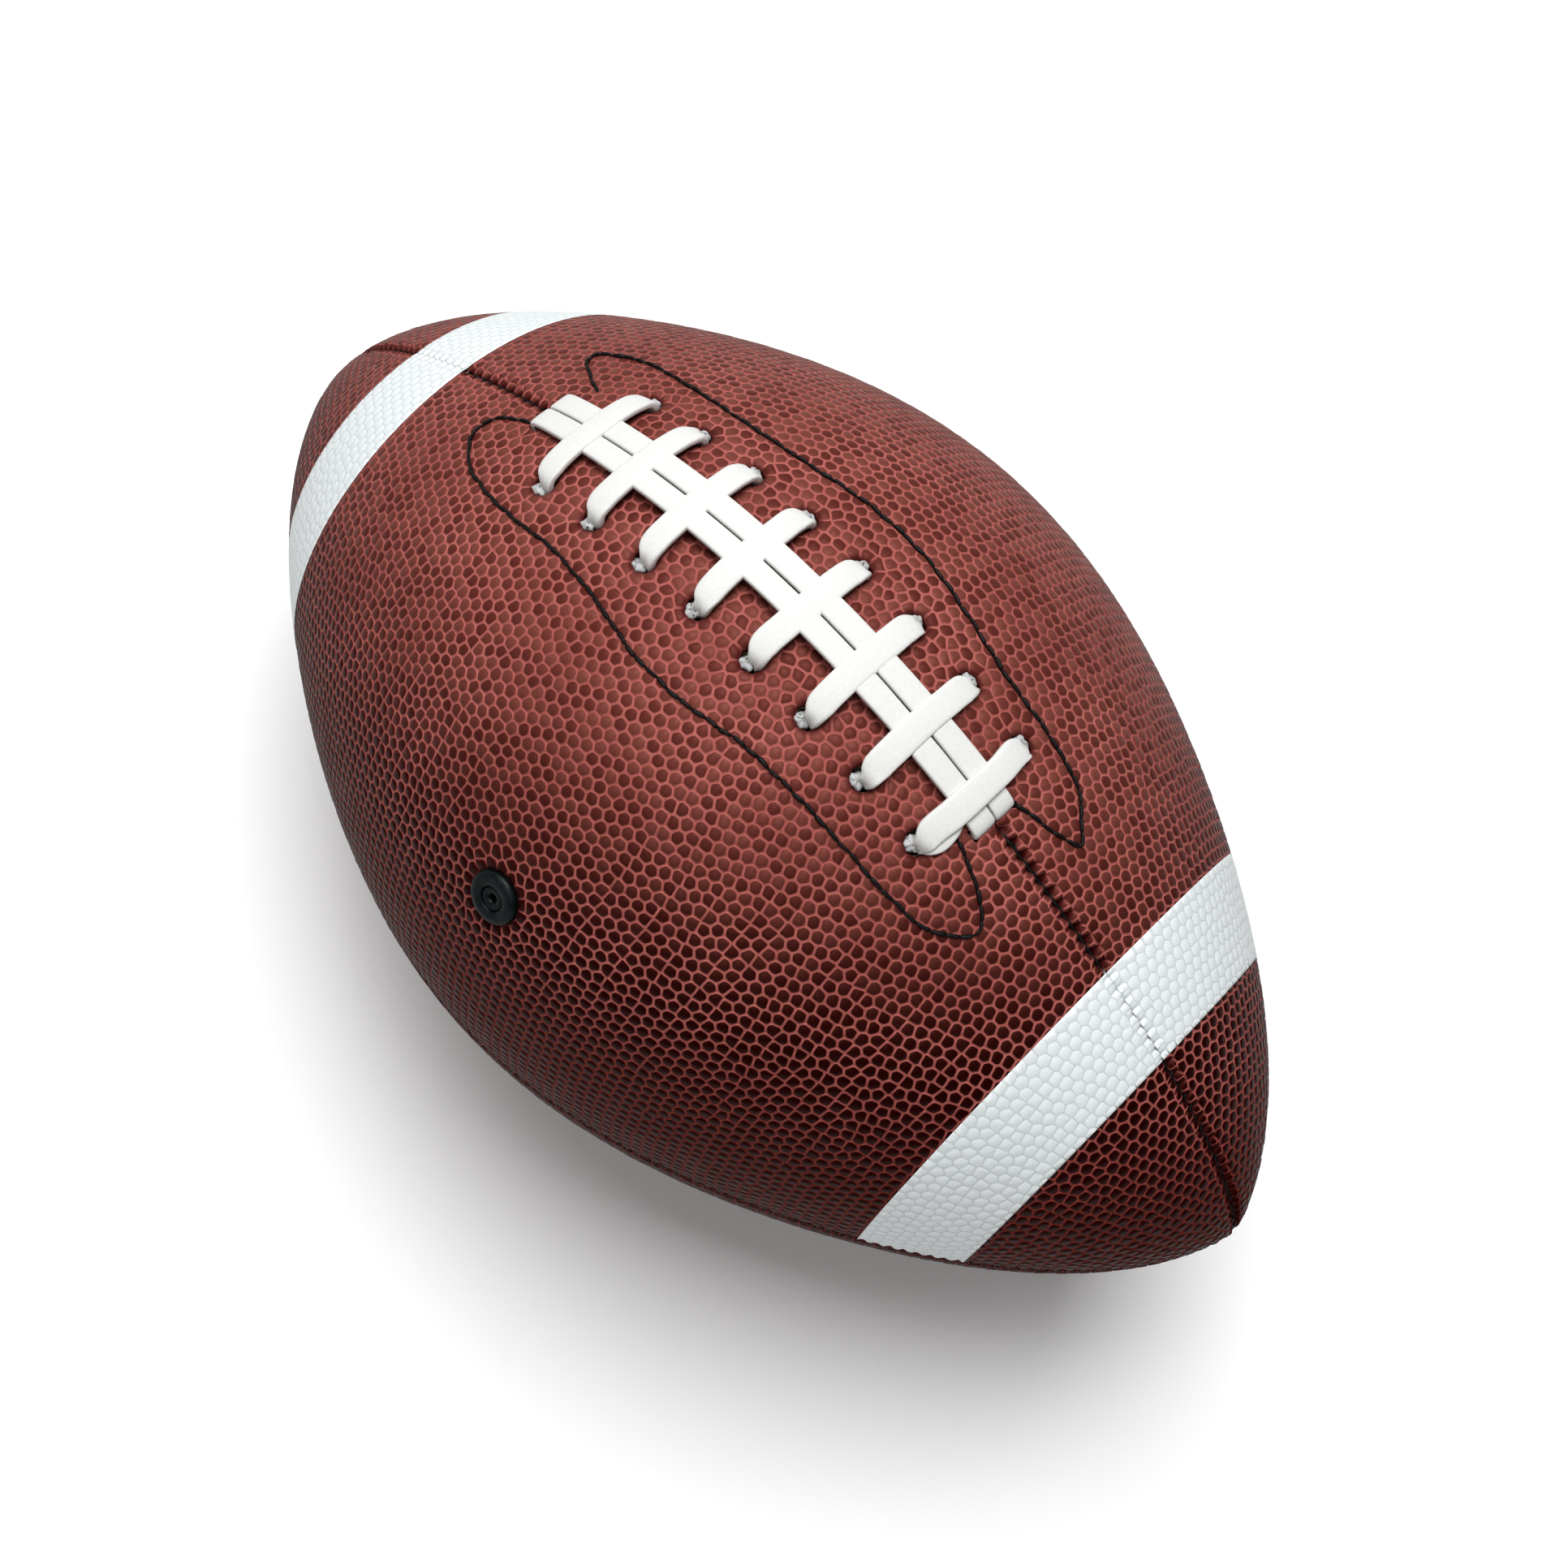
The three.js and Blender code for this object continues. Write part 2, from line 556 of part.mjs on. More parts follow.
function laceStops() {
  const stops = [];
  const add = (...stop) => stops.push(stop);
  const left = -strandFromSeam;
  const right = strandFromSeam;

  // Tail inside the rear end, up through the rear slot and along the left strand
  add(slotRear - tailLength, left, innerLaceDepth, 90, 0);
  add(slotRear - 3, left, innerLaceDepth, 90, 0);
  add(slotRear - 0.6, left, innerLaceDepth - 1, 90, 0);
  add(slotRear, left, innerLaceDepth / 2, 90, 0);
  add(slotRear + 0.3, left, 0, 90, 0);
  add(slotRear + 2, left, onTop, 90, 0);
  add(slotFront - 2, left, onTop, 90, 0);

  // Down the front slot, a flat half turn inside and up again
  add(slotFront - 0.3, left, 0, 90, 0);
  add(slotFront, left, innerLaceDepth / 2, 90, 0);
  add(slotFront + 0.6, left, innerLaceDepth - 1, 90, 0);
  const turnStart = slotFront + 3;
  for (let i = 0; i <= 6; i += 1) {
    const around = (i / 6) * Math.PI;
    const x = turnStart + strandFromSeam * Math.sin(around);
    add(x, -strandFromSeam * Math.cos(around), innerLaceDepth, 90 + around / degree, 0);
  }
  add(slotFront + 0.6, right, innerLaceDepth - 1, 270, 0);
  add(slotFront, right, innerLaceDepth / 2, 270, 0);
  add(slotFront - 0.3, right, 0, 270, 0);
  add(slotFront - 2, right, onTop, 270, 0);

  // Back along the right strand, down the rear slot and under to the first hole
  add(slotRear + 2, right, onTop, 270, 0);
  add(slotRear + 0.3, right, 0, 270, 0);
  add(slotRear, right, innerLaceDepth / 2, 270, 0);
  add(slotRear + 0.6, right, innerLaceDepth - 1, 270, 0);
  add(slotRear + 2.4, right - 0.3, innerLaceDepth, 262, 0);

  // Cross bars, each up the left hole and down the right one
  const slope = Math.atan2(-2 * holeFromSeam, crossBarPitch);
  const lead = [Math.cos(slope), Math.sin(slope)];
  const runTurn = 270 + slope / degree;
  crossBars.forEach((x, i) => {
    add(x - 4 * lead[0], -holeFromSeam - 4 * lead[1], innerLaceDepth, runTurn, 0);
    add(x - 1.4 * lead[0], -holeFromSeam - 1.4 * lead[1], innerLaceDepth - 0.2, runTurn, 0.8);
    add(x - 0.4 * lead[0], -holeFromSeam - 0.4 * lead[1], innerLaceDepth - 1, (runTurn + 180) / 2, 1);
    add(x, -holeFromSeam, innerLaceDepth - 2.4, 180, 1);
    add(x, -holeFromSeam, 0.4, 180, 1);
    add(x, -holeFromSeam + 0.9, -1, 180, 1);
    add(x, -holeFromSeam + 3, -1.5, 180, 0.4);
    add(x, -strandFromSeam - laceWidth / 2 - 1.2, overStrands, 180, 0);
    add(x, 0, overStrands, 180, 0);
    add(x, strandFromSeam + laceWidth / 2 + 1.2, overStrands, 180, 0);
    add(x, holeFromSeam - 3, -1.5, 180, 0.4);
    add(x, holeFromSeam - 0.9, -1, 180, 1);
    add(x, holeFromSeam, 0.4, 180, 1);
    add(x, holeFromSeam, innerLaceDepth - 2.4, 180, 1);
    if (i < crossBarCount - 1) {
      const y = holeFromSeam;
      add(x + 0.4 * lead[0], y + 0.4 * lead[1], innerLaceDepth - 1, (runTurn + 180) / 2, 1);
      add(x + 1.4 * lead[0], y + 1.4 * lead[1], innerLaceDepth - 0.2, runTurn, 0.8);
      add(x + 4 * lead[0], y + 4 * lead[1], innerLaceDepth, runTurn, 0);
      add(x + crossBarPitch / 2, 0, innerLaceDepth, runTurn, 0);
    } else {
      add(x, holeFromSeam - 0.4, innerLaceDepth - 1, 180, 1);
      add(x, holeFromSeam - 1.4, innerLaceDepth - 0.2, 180, 0.8);
      add(x, holeFromSeam - 4, innerLaceDepth, 180, 0);
      add(x, holeFromSeam - tailLength, innerLaceDepth, 180, 0);
    }
  });
  return stops;
}

// The stops joined by one smooth curve and swept with a flat section
function laceGeometry() {
  const stops = laceStops();
  const route = new THREE.CatmullRomCurve3(stops.map(([x, arc, depth]) => new THREE.Vector3(x, arc, depth)));
  route.curveType = 'centripetal';
  const rings = [];
  for (let i = 0; i < stops.length - 1; i += 1) {
    const span = Math.hypot(stops[i + 1][0] - stops[i][0], stops[i + 1][1] - stops[i][1]);
    const parts = Math.max(1, Math.round(span / 8));
    for (let j = 0; j < parts; j += 1) rings.push(i + j / parts);
  }
  rings.push(stops.length - 1);

  const lastStop = stops.length - 1;
  const mix = (at, key) => {
    const i = Math.min(Math.floor(at), lastStop - 1);
    return THREE.MathUtils.lerp(stops[i][key], stops[i + 1][key], at - i);
  };
  const placeAt = (at) => {
    const { x, y, z } = route.getPoint(THREE.MathUtils.clamp(at, 0, lastStop) / lastStop);
    return laceSidePoint(x, y, z);
  };
  const positions = [];
  for (const at of rings) {
    const centre = placeAt(at);
    const ahead = placeAt(at + 0.05).sub(placeAt(at - 0.05)).normalize();
    const flat = route.getPoint(at / lastStop);
    const near = (dx, dy) => laceSidePoint(flat.x + dx, flat.y + dy, flat.z);
    const alongBall = near(0.5, 0).sub(near(-0.5, 0));
    const across = near(0, 0.5).sub(near(0, -0.5));
    const turn = mix(at, 3) * degree;
    const wide = alongBall.multiplyScalar(Math.cos(turn)).addScaledVector(across, Math.sin(turn));
    wide.addScaledVector(ahead, -wide.dot(ahead)).normalize();
    const thick = new THREE.Vector3().crossVectors(ahead, wide);
    const squeeze = mix(at, 4);
    const halfWide = THREE.MathUtils.lerp(laceWidth, holeBandWidth, squeeze) / 2;
    const halfThick = THREE.MathUtils.lerp(laceThickness, holeBandThickness, squeeze) / 2;
    for (const [a, b] of [[1, 1], [-1, 1], [-1, -1], [1, -1]]) {
      const corner = centre.clone().addScaledVector(wide, a * halfWide);
      positions.push(...corner.addScaledVector(thick, b * halfThick).toArray());
    }
  }
  const indices = [];
  const last = (rings.length - 1) * 4;
  for (let ring = 0; ring < last; ring += 4) {
    for (let side = 0; side < 4; side += 1) {
      const next = (side + 1) % 4;
      indices.push(ring + side, ring + next, ring + 4 + next);
      indices.push(ring + side, ring + 4 + next, ring + 4 + side);
    }
  }
  indices.push(0, 2, 1, 0, 3, 2, last, last + 1, last + 2, last, last + 2, last + 3);
  return indexedGeometry(positions, indices);
}

addPart('lace', laceGeometry(), laceCord);

export default group;
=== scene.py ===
"""A laced American football: pebbled leather panels, painted bands, lace, stitching and valve."""

import bmesh
import bpy
import numpy as np
from mathutils import Matrix, Vector
from mathutils.geometry import delaunay_2d_cdt


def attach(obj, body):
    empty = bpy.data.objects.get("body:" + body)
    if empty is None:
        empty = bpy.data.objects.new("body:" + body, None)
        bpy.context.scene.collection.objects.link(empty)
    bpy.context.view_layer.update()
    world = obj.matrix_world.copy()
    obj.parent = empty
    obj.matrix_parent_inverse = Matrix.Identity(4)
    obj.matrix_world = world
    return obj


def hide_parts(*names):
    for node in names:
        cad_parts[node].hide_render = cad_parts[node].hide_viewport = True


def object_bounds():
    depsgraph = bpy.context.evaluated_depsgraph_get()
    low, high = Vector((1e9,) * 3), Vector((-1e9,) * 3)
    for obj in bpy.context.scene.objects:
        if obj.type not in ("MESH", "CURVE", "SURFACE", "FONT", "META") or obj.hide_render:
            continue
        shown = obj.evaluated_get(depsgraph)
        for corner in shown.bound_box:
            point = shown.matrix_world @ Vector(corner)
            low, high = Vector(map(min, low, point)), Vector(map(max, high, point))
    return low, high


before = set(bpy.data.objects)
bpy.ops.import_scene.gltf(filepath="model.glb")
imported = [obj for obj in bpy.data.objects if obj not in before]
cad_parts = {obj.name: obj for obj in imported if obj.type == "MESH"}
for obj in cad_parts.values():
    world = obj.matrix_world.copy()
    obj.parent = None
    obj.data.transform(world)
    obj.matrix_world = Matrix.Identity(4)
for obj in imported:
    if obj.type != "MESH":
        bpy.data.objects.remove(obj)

bl_info = {
    "name": "Laced football",
    "version": (1, 0, 0),
    "blender": (4, 5, 0),
    "location": "View3D > Sidebar > Football",
    "description": "Makes the leather, painted bands, lace, stitching and valve of a laced football",
    "category": "Add Mesh",
}

MM = 0.001
QUARTER = np.pi / 2
LOW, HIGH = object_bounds()


# ---------------------------------------------------------------------------------- settings

def length_property(name, description, default):
    return bpy.props.FloatProperty(
        name=name, description=description, default=default * MM, unit="LENGTH", precision=5)


def angle_property(name, description, degrees):
    return bpy.props.FloatProperty(
        name=name, description=description, default=np.radians(degrees), subtype="ANGLE")


def factor_property(name, description, default):
    return bpy.props.FloatProperty(name=name, description=description, default=default)


def colour_property(name, description, default):
    return bpy.props.FloatVectorProperty(
        name=name, description=description, default=default, subtype="COLOR", size=3, min=0, max=1)


class FootballShape(bpy.types.PropertyGroup):
    """Sizes of the ball and of its parts"""

    half_length: length_property("Half length", "Centre to tip", 142)
    belly_radius: length_property("Belly radius", "Radius at the middle", 85.5)
    tip_power: factor_property("Tip power", "How blunt the tips are", 0.72)
    shoulder_taper: factor_property("Shoulder taper", "How much the shoulders are drawn in", 0.22)
    end_fullness: factor_property("End fullness", "How full the ends are", 0.26)
    cover_thickness: length_property("Cover thickness", "Thickness of the leather", 1.8)
    stripe_inner: length_property("Band inner edge", "Centre to the band's inner edge", 89.1)
    stripe_outer: length_property("Band outer edge", "Centre to the band's outer edge", 107.2)
    bar_count: bpy.props.IntProperty(name="Cross bars", description="Cross bars of lace", default=8)
    bar_pitch: length_property("Bar pitch", "Distance between cross bars", 14.1)
    row_centre: length_property("Row centre", "Middle of the lacing along the ball", 1.8)
    hole_arc: length_property("Hole line", "Lace holes from the seam", 13.7)
    hole_diameter: length_property("Hole diameter", "Width of a lace hole", 4.6)
    slot_past_bar: length_property("Front slot", "Front slot past the last bar", 5.8)
    slot_before_bar: length_property("Rear slot", "Rear slot before the first bar", 13.5)
    slot_length: length_property("Slot length", "Length of an end slot along the ball", 4.4)
    valve_angle: angle_property("Valve angle", "Valve, round the ball from its right side", 145)
    valve_radius: length_property("Valve radius", "Radius of the valve's face", 5.5)


class FootballLeather(bpy.types.PropertyGroup):
    """Grain and colours of the leather and of the paint"""

    pitch: length_property("Pebble pitch", "Distance between pebbles", 2.68)
    pebble_height: length_property("Pebble height", "Height of a pebble", 0.3)
    valley_width: length_property("Valley half width", "Width of a pebble's flank", 0.38)
    jitter: factor_property("Irregularity", "How far pebbles stray, in pitches", 0.24)
    seam_curl: length_property("Seam curl", "How far an edge rolls in at a seam", 0.8)
    seed: bpy.props.IntProperty(name="Seed", description="Seed of the grain", default=11)
    # Painted light and shade: the top and valley colours come in paler copies, painted light for the upper
    # side and rear, and in deep copies, painted shade for low down in front
    top_colour: colour_property("Pebble colour", "Worn tops", (0.190, 0.070, 0.057))
    top_dark: colour_property("Dark pebbles", "Darker tops", (0.125, 0.038, 0.031))
    top_painted_shade: colour_property("Deep pebbles", "Tops that nobody rubs", (0.026, 0.0015, 0.0008))
    valley_painted_shade: colour_property("Deep valleys", "Valleys that nobody rubs", (0.20, 0.045, 0.036))
    valley_colour: colour_property("Valley colour", "Between the pebbles", (0.385, 0.150, 0.133))
    valley_dark: colour_property("Dark valleys", "Darker valleys", (0.290, 0.102, 0.090))
    # Painted shade in the creases at seams and holes, and on the panel walls
    fold_shade_colour: colour_property("Fold colour", "At seams and holes", (0.055, 0.008, 0.008))
    paint_colour: colour_property("Paint", "Bands", (0.68, 0.71, 0.715))
    # Painted shade: the paint's greyer copy for its valleys and for the painted thread in the seam groove
    paint_in_shade: colour_property("Paint in dimples", "Bands in their valleys", (0.54, 0.57, 0.58))


class FootballLacing(bpy.types.PropertyGroup):
    """Lace, thread and valve"""

    strand_width: length_property("Strand width", "Width of a long strand", 4.95)
    bar_width: length_property("Bar width", "Width of a cross bar", 5.5)
    squeezed_width: length_property("Squeezed width", "Width of the lace in a hole", 3.2)
    thickness: length_property("Lace thickness", "Thickness of the lace", 1.45)
    strand_arc: length_property("Strand offset", "Middle of a strand from the seam", 2.58)
    stitch_pitch: length_property("Stitch pitch", "Length of one stitch", 2.9)
    thread_radius: length_property("Thread radius", "Radius of the facing thread", 0.35)
    seam_thread_radius: length_property("Seam thread radius", "Radius of the seam thread", 0.24)
    lace_colour: colour_property("Lace colour", "White lace", (0.62, 0.62, 0.605))
    # Painted shade: the grey copy of the lace for the crumpled lace deep in the holes
    lace_shade: colour_property("Lace in holes", "Crumpled lace in the holes", (0.44, 0.45, 0.45))
    thread_colour: colour_property("Thread colour", "Black thread", (0.010, 0.009, 0.009))
    rubber_colour: colour_property("Rubber colour", "Valve rubber", (0.005, 0.009, 0.010))


class FootballStage(bpy.types.PropertyGroup):
    """Camera, lights and floor"""

    camera_place: bpy.props.FloatVectorProperty(
        name="Camera", description="Place of the camera", default=(0.0988, -0.1161, 0.3486),
        unit="LENGTH")
    camera_target: bpy.props.FloatVectorProperty(
        name="Target", description="Point in the middle of the view", default=(0.00766, 0.00233, 0),
        unit="LENGTH")
    camera_up: bpy.props.FloatVectorProperty(
        name="Up", description="Direction that is up in the view", default=(-0.674, 0.628, 0.389))
    lens: factor_property("Lens", "Focal length for a 36 mm sensor", 38.79)
    floor_colour: colour_property("Floor colour", "Pale floor", (0.86, 0.86, 0.86))
    sky: factor_property("Sky", "Strength of the light from all round", 0.15)


def settings():
    """The four groups of settings of this scene."""
    scene = bpy.context.scene
    return scene.football_shape, scene.football_leather, scene.football_lacing, scene.football_stage


# ------------------------------------------------------------------------------ ball surface

class Ball:
    """The ball's surface in millimetres. Its radius at a share u of the half length is
    belly * (1 - u^2)^power * (1 - taper u^2 + fullness u^4). Besides x and the angle from the
    right side towards the top, a place along the ball has an arc length s from the middle and
    a stretched length v, the integral of ds / radius, in which small circles stay circles."""

    LAST_ROW = np.radians(87.5)

    def __init__(self):
        shape = settings()[0]
        self.half = shape.half_length / MM
        self.belly = shape.belly_radius / MM
        self.form = (shape.tip_power, shape.shoulder_taper, shape.end_fullness)
        x = self.half * np.sin(np.linspace(-1, 1, 6001) * self.LAST_ROW)
        r = self.radius(x)
        step = np.hypot(np.diff(x), np.diff(r))
        self.x = x
        self.s = np.concatenate(([0], np.cumsum(step)))
        self.v = np.concatenate(([0], np.cumsum(step * 2 / (r[1:] + r[:-1]))))
        self.s -= self.s[-1] / 2
        self.v -= self.v[-1] / 2
        self.slope = np.gradient(r, x)

    def radius(self, x):
        power, taper, fullness = self.form
        u2 = np.clip((x / self.half) ** 2, 0, 1)
        return self.belly * (1 - u2) ** power * (1 - taper * u2 + fullness * u2 ** 2)

    def x_of_s(self, s):
        return np.interp(s, self.s, self.x)

    def s_of_x(self, x):
        return np.interp(x, self.x, self.s)

    def x_of_v(self, v):
        return np.interp(v, self.v, self.x)

    def v_of_x(self, x):
        return np.interp(x, self.x, self.v)

    def normal(self, x, angle):
        """The outward direction: (-slope of the radius, cos angle, sin angle), made 1 long."""
        slope = np.interp(x, self.x, self.slope)
        return unit(np.stack((-slope, np.cos(angle), np.sin(angle)), -1))

    def place(self, x, angle, height):
        """The point on the surface at x and angle, raised by height along the normal."""
        r = self.radius(x)
        on = np.stack(np.broadcast_arrays(x, r * np.cos(angle), r * np.sin(angle)), -1)
        return on + self.normal(x, angle) * np.asarray(height)[..., None]

    def sink(self, x, angle, depth):
        """The point of the layer at a depth: both half length and radius shrink by it."""
        u = x / self.half
        r = self.radius(x) * (self.belly - depth) / self.belly
        along = (self.half - depth) * u
        return np.stack(np.broadcast_arrays(along, r * np.cos(angle), r * np.sin(angle)), -1)

    def beside_lace(self, x, arc, depth):
        """The point at x, at an arc length to the right of the lace seam and at a depth."""
        return self.sink(x, QUARTER - arc / self.radius(x), depth)


def lacing_rows(shape):
    """The x of each cross bar, and of the front and the rear slot, in millimetres."""
    steps = np.arange(shape.bar_count) - (shape.bar_count - 1) / 2
    bars = shape.row_centre / MM + steps * shape.bar_pitch / MM
    return bars, bars[-1] + shape.slot_past_bar / MM, bars[0] - shape.slot_before_bar / MM


def wobble(position, seed, waves=5, reach=1.0):
    """A smooth seeded curve through a position array: a sum of sines of random pitch and
    phase, about -1 to 1."""
    rng = np.random.default_rng(seed)
    pitch = rng.uniform(0.35, 1.6, waves) / reach
    phase = rng.uniform(0, 2 * np.pi, waves)
    return np.sin(np.asarray(position)[..., None] * pitch + phase).sum(-1) / np.sqrt(waves)


def unit(vectors):
    """The vectors, each made 1 long."""
    return vectors / np.linalg.norm(vectors, axis=-1, keepdims=True)


def length_along(points):
    """The length along a line of points, from 0 at the first."""
    return np.concatenate(([0], np.cumsum(np.linalg.norm(np.diff(points, axis=0), axis=1))))


def place_in_groups(counts):
    """For groups of so many members each: every member's group and its place in the group."""
    group = np.repeat(np.arange(len(counts)), counts)
    return group, np.arange(counts.sum()) - np.repeat(np.cumsum(counts) - counts, counts)


def triangles(points, edges):
    """The Delaunay triangles of points in the plane that keep to the edges, as index rows."""
    corners = [Vector(point) for point in points.tolist()]
    _, _, faces, origin, _, _ = delaunay_2d_cdt(corners, edges, [], 0, 1e-9)
    return np.array([sources[0] for sources in origin])[np.array(faces)]


# -------------------------------------------------------------------------------- mesh making

def new_piece(name, points, faces, material, nodes=(), attributes=None, smooth_angle=60):
    """A mesh object from points in millimetres and faces as a list of index arrays, one array
    for each number of corners or (flat indices, sizes) for mixed ones."""
    mesh = bpy.data.meshes.new(name)
    flat, sizes = [], []
    for block in faces:
        if isinstance(block, tuple):
            flat.append(block[0])
            sizes.append(block[1])
        else:
            flat.append(block.ravel())
            sizes.append(np.full(len(block), block.shape[1]))
    flat = np.concatenate(flat).astype(np.int32)
    sizes = np.concatenate(sizes)
    starts = np.concatenate(([0], np.cumsum(sizes)[:-1])).astype(np.int32)
    mesh.vertices.add(len(points))
    mesh.vertices.foreach_set("co", (np.asarray(points) * MM).astype(np.float32).ravel())
    mesh.loops.add(len(flat))
    mesh.loops.foreach_set("vertex_index", flat)
    mesh.polygons.add(len(starts))
    mesh.polygons.foreach_set("loop_start", starts)
    mesh.polygons.foreach_set("use_smooth", np.ones(len(starts), dtype=bool))
    for key, values in (attributes or {}).items():
        layer = mesh.attributes.new(key, "FLOAT", "POINT")
        layer.data.foreach_set("value", np.asarray(values, dtype=np.float32))
    mesh.update(calc_edges=True)
    if smooth_angle:
        mesh.set_sharp_from_angle(angle=np.radians(smooth_angle))
    piece = bpy.data.objects.new(name, mesh)
    bpy.context.scene.collection.objects.link(piece)
    mesh.materials.append(material)
    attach(piece, "root")
    if nodes:
        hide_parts(*nodes)
    return piece


def sweep_faces(rings, sides, loops=1):
    """Quads of tubes given as rings of points one after another, for a number of equal tubes,
    and the caps at both ends of each. The rings turn to the right seen along the tube."""
    ring = np.arange(rings - 1)[:, None] * sides
    side = np.arange(sides)
    after = (side + 1) % sides
    quads = np.stack((ring + side, ring + sides + side, ring + sides + after, ring + after), -1)
    shift = np.arange(loops) * rings * sides
    quads = (quads.reshape(1, -1, 4) + shift[:, None, None]).reshape(-1, 4)
    first = side[None, :] + shift[:, None]
    last = side[None, ::-1] + (rings - 1) * sides + shift[:, None]
    return [quads, np.concatenate((first, last))]


def tube(centres, up, radius, sides):
    """Rings round a line of centres: centre + radius * (cos * up + sin * side), where side is
    the line's direction crossed with up. The last axis is x, y, z and the one before it is
    along the line, so that many lines can be done at once."""
    along = unit(np.gradient(centres, axis=-2))
    up = unit(up - along * (up * along).sum(-1, keepdims=True))
    side = np.cross(along, up)
    turn = np.arange(sides) * 2 * np.pi / sides
    radius = np.broadcast_to(radius, centres.shape[:-1])[..., None, None]
    return (centres[..., None, :]
            + radius * np.cos(turn)[:, None] * up[..., None, :]
            + radius * np.sin(turn)[:, None] * side[..., None, :])


def tube_on_ball(ball, x, angle, height, radius, sides):
    """A tube along places on the ball's surface that are raised by height."""
    angle = np.broadcast_to(angle, np.shape(x))
    return tube(ball.place(x, angle, height), ball.normal(x, angle), radius, sides)


# ------------------------------------------------------------------------------------ finishes

class Value:
    """One output of a node. Arithmetic on it adds Math nodes to its tree."""

    def __init__(self, tree, socket):
        self.tree = tree
        self.socket = socket

    def math(self, operation, *terms):
        """A Math node on values and numbers."""
        node = self.tree.nodes.new("ShaderNodeMath")
        node.operation = operation
        for socket, term in zip(node.inputs, terms):
            if isinstance(term, Value):
                self.tree.links.new(term.socket, socket)
            else:
                socket.default_value = term
        return Value(self.tree, node.outputs[0])

    def __add__(self, other):
        return self.math("ADD", self, other)

    def __radd__(self, other):
        return self.math("ADD", other, self)

    def __sub__(self, other):
        return self.math("SUBTRACT", self, other)

    def __rsub__(self, other):
        return self.math("SUBTRACT", other, self)

    def __mul__(self, other):
        return self.math("MULTIPLY", self, other)

    def __rmul__(self, other):
        return self.math("MULTIPLY", other, self)


class Finish:
    """A material made of one Principled shader and the nodes that feed it."""

    def __init__(self, name, roughness=0.5, **constants):
        self.material = bpy.data.materials.new(name)
        self.material.use_nodes = True
        self.tree = self.material.node_tree
        self.shader = self.tree.nodes["Principled BSDF"]
        self.shader.inputs["Roughness"].default_value = roughness
        for socket, value in constants.items():
            self.shader.inputs[socket.replace("_", " ")].default_value = value
        self.place = self.node("ShaderNodeTexCoord", out="Object")

    def node(self, kind, before=None, sockets=None, out=0):
        """Any node: its type, its settings, then the values or links of its sockets."""
        node = self.tree.nodes.new(kind)
        for key, value in (before or {}).items():
            setattr(node, key, value)
        for key, value in (sockets or {}).items():
            if isinstance(value, Value):
                self.tree.links.new(value.socket, node.inputs[key])
            else:
                node.inputs[key].default_value = value
        return Value(self.tree, node.outputs[out])

    def attribute(self, name):
        return self.node("ShaderNodeAttribute", {"attribute_name": name}, out="Fac")

    def split(self, vector):
        """The three parts of a vector."""
        return [self.node("ShaderNodeSeparateXYZ", sockets={0: vector}, out=k) for k in range(3)]

    def noise(self, scale, detail=2.0, roughness=0.5):
        return self.node("ShaderNodeTexNoise", sockets={
            "Vector": self.place, "Scale": scale, "Detail": detail, "Roughness": roughness})

    def step(self, value, low, high):
        """0 below low, 1 above high and smooth between."""
        return self.node("ShaderNodeMapRange", {"interpolation_type": "SMOOTHSTEP"},
                         {"Value": value, "From Min": low, "From Max": high})

    def blend(self, share, first, second):
        """A colour between two, each a triple or a Value."""
        sockets = {0: share}
        for key, colour in ((6, first), (7, second)):
            sockets[key] = colour if isinstance(colour, Value) else (*colour, 1)
        return self.node("ShaderNodeMix", {"data_type": "RGBA"}, sockets, out=2)

    def feed(self, **links):
        """Links values to the shader's sockets of those names."""
        for key, value in links.items():
            self.tree.links.new(value.socket, self.shader.inputs[key.replace("_", " ")])

    def bump(self, height, strength, distance):
        self.feed(Normal=self.node("ShaderNodeBump", sockets={
            "Height": height, "Strength": strength, "Distance": distance}))


# Painted light and shade on the leather: how high a place counts as lit is its height with a share of its
# place across and along
PAINTED_LIGHT_ACROSS, PAINTED_LIGHT_ALONG = 0.35, 0.2
PAINTED_LIGHT_TOPS, PAINTED_LIGHT_VALLEYS = (0.018, 0.070), (-0.015, 0.028)  # from painted shade to painted light, in m


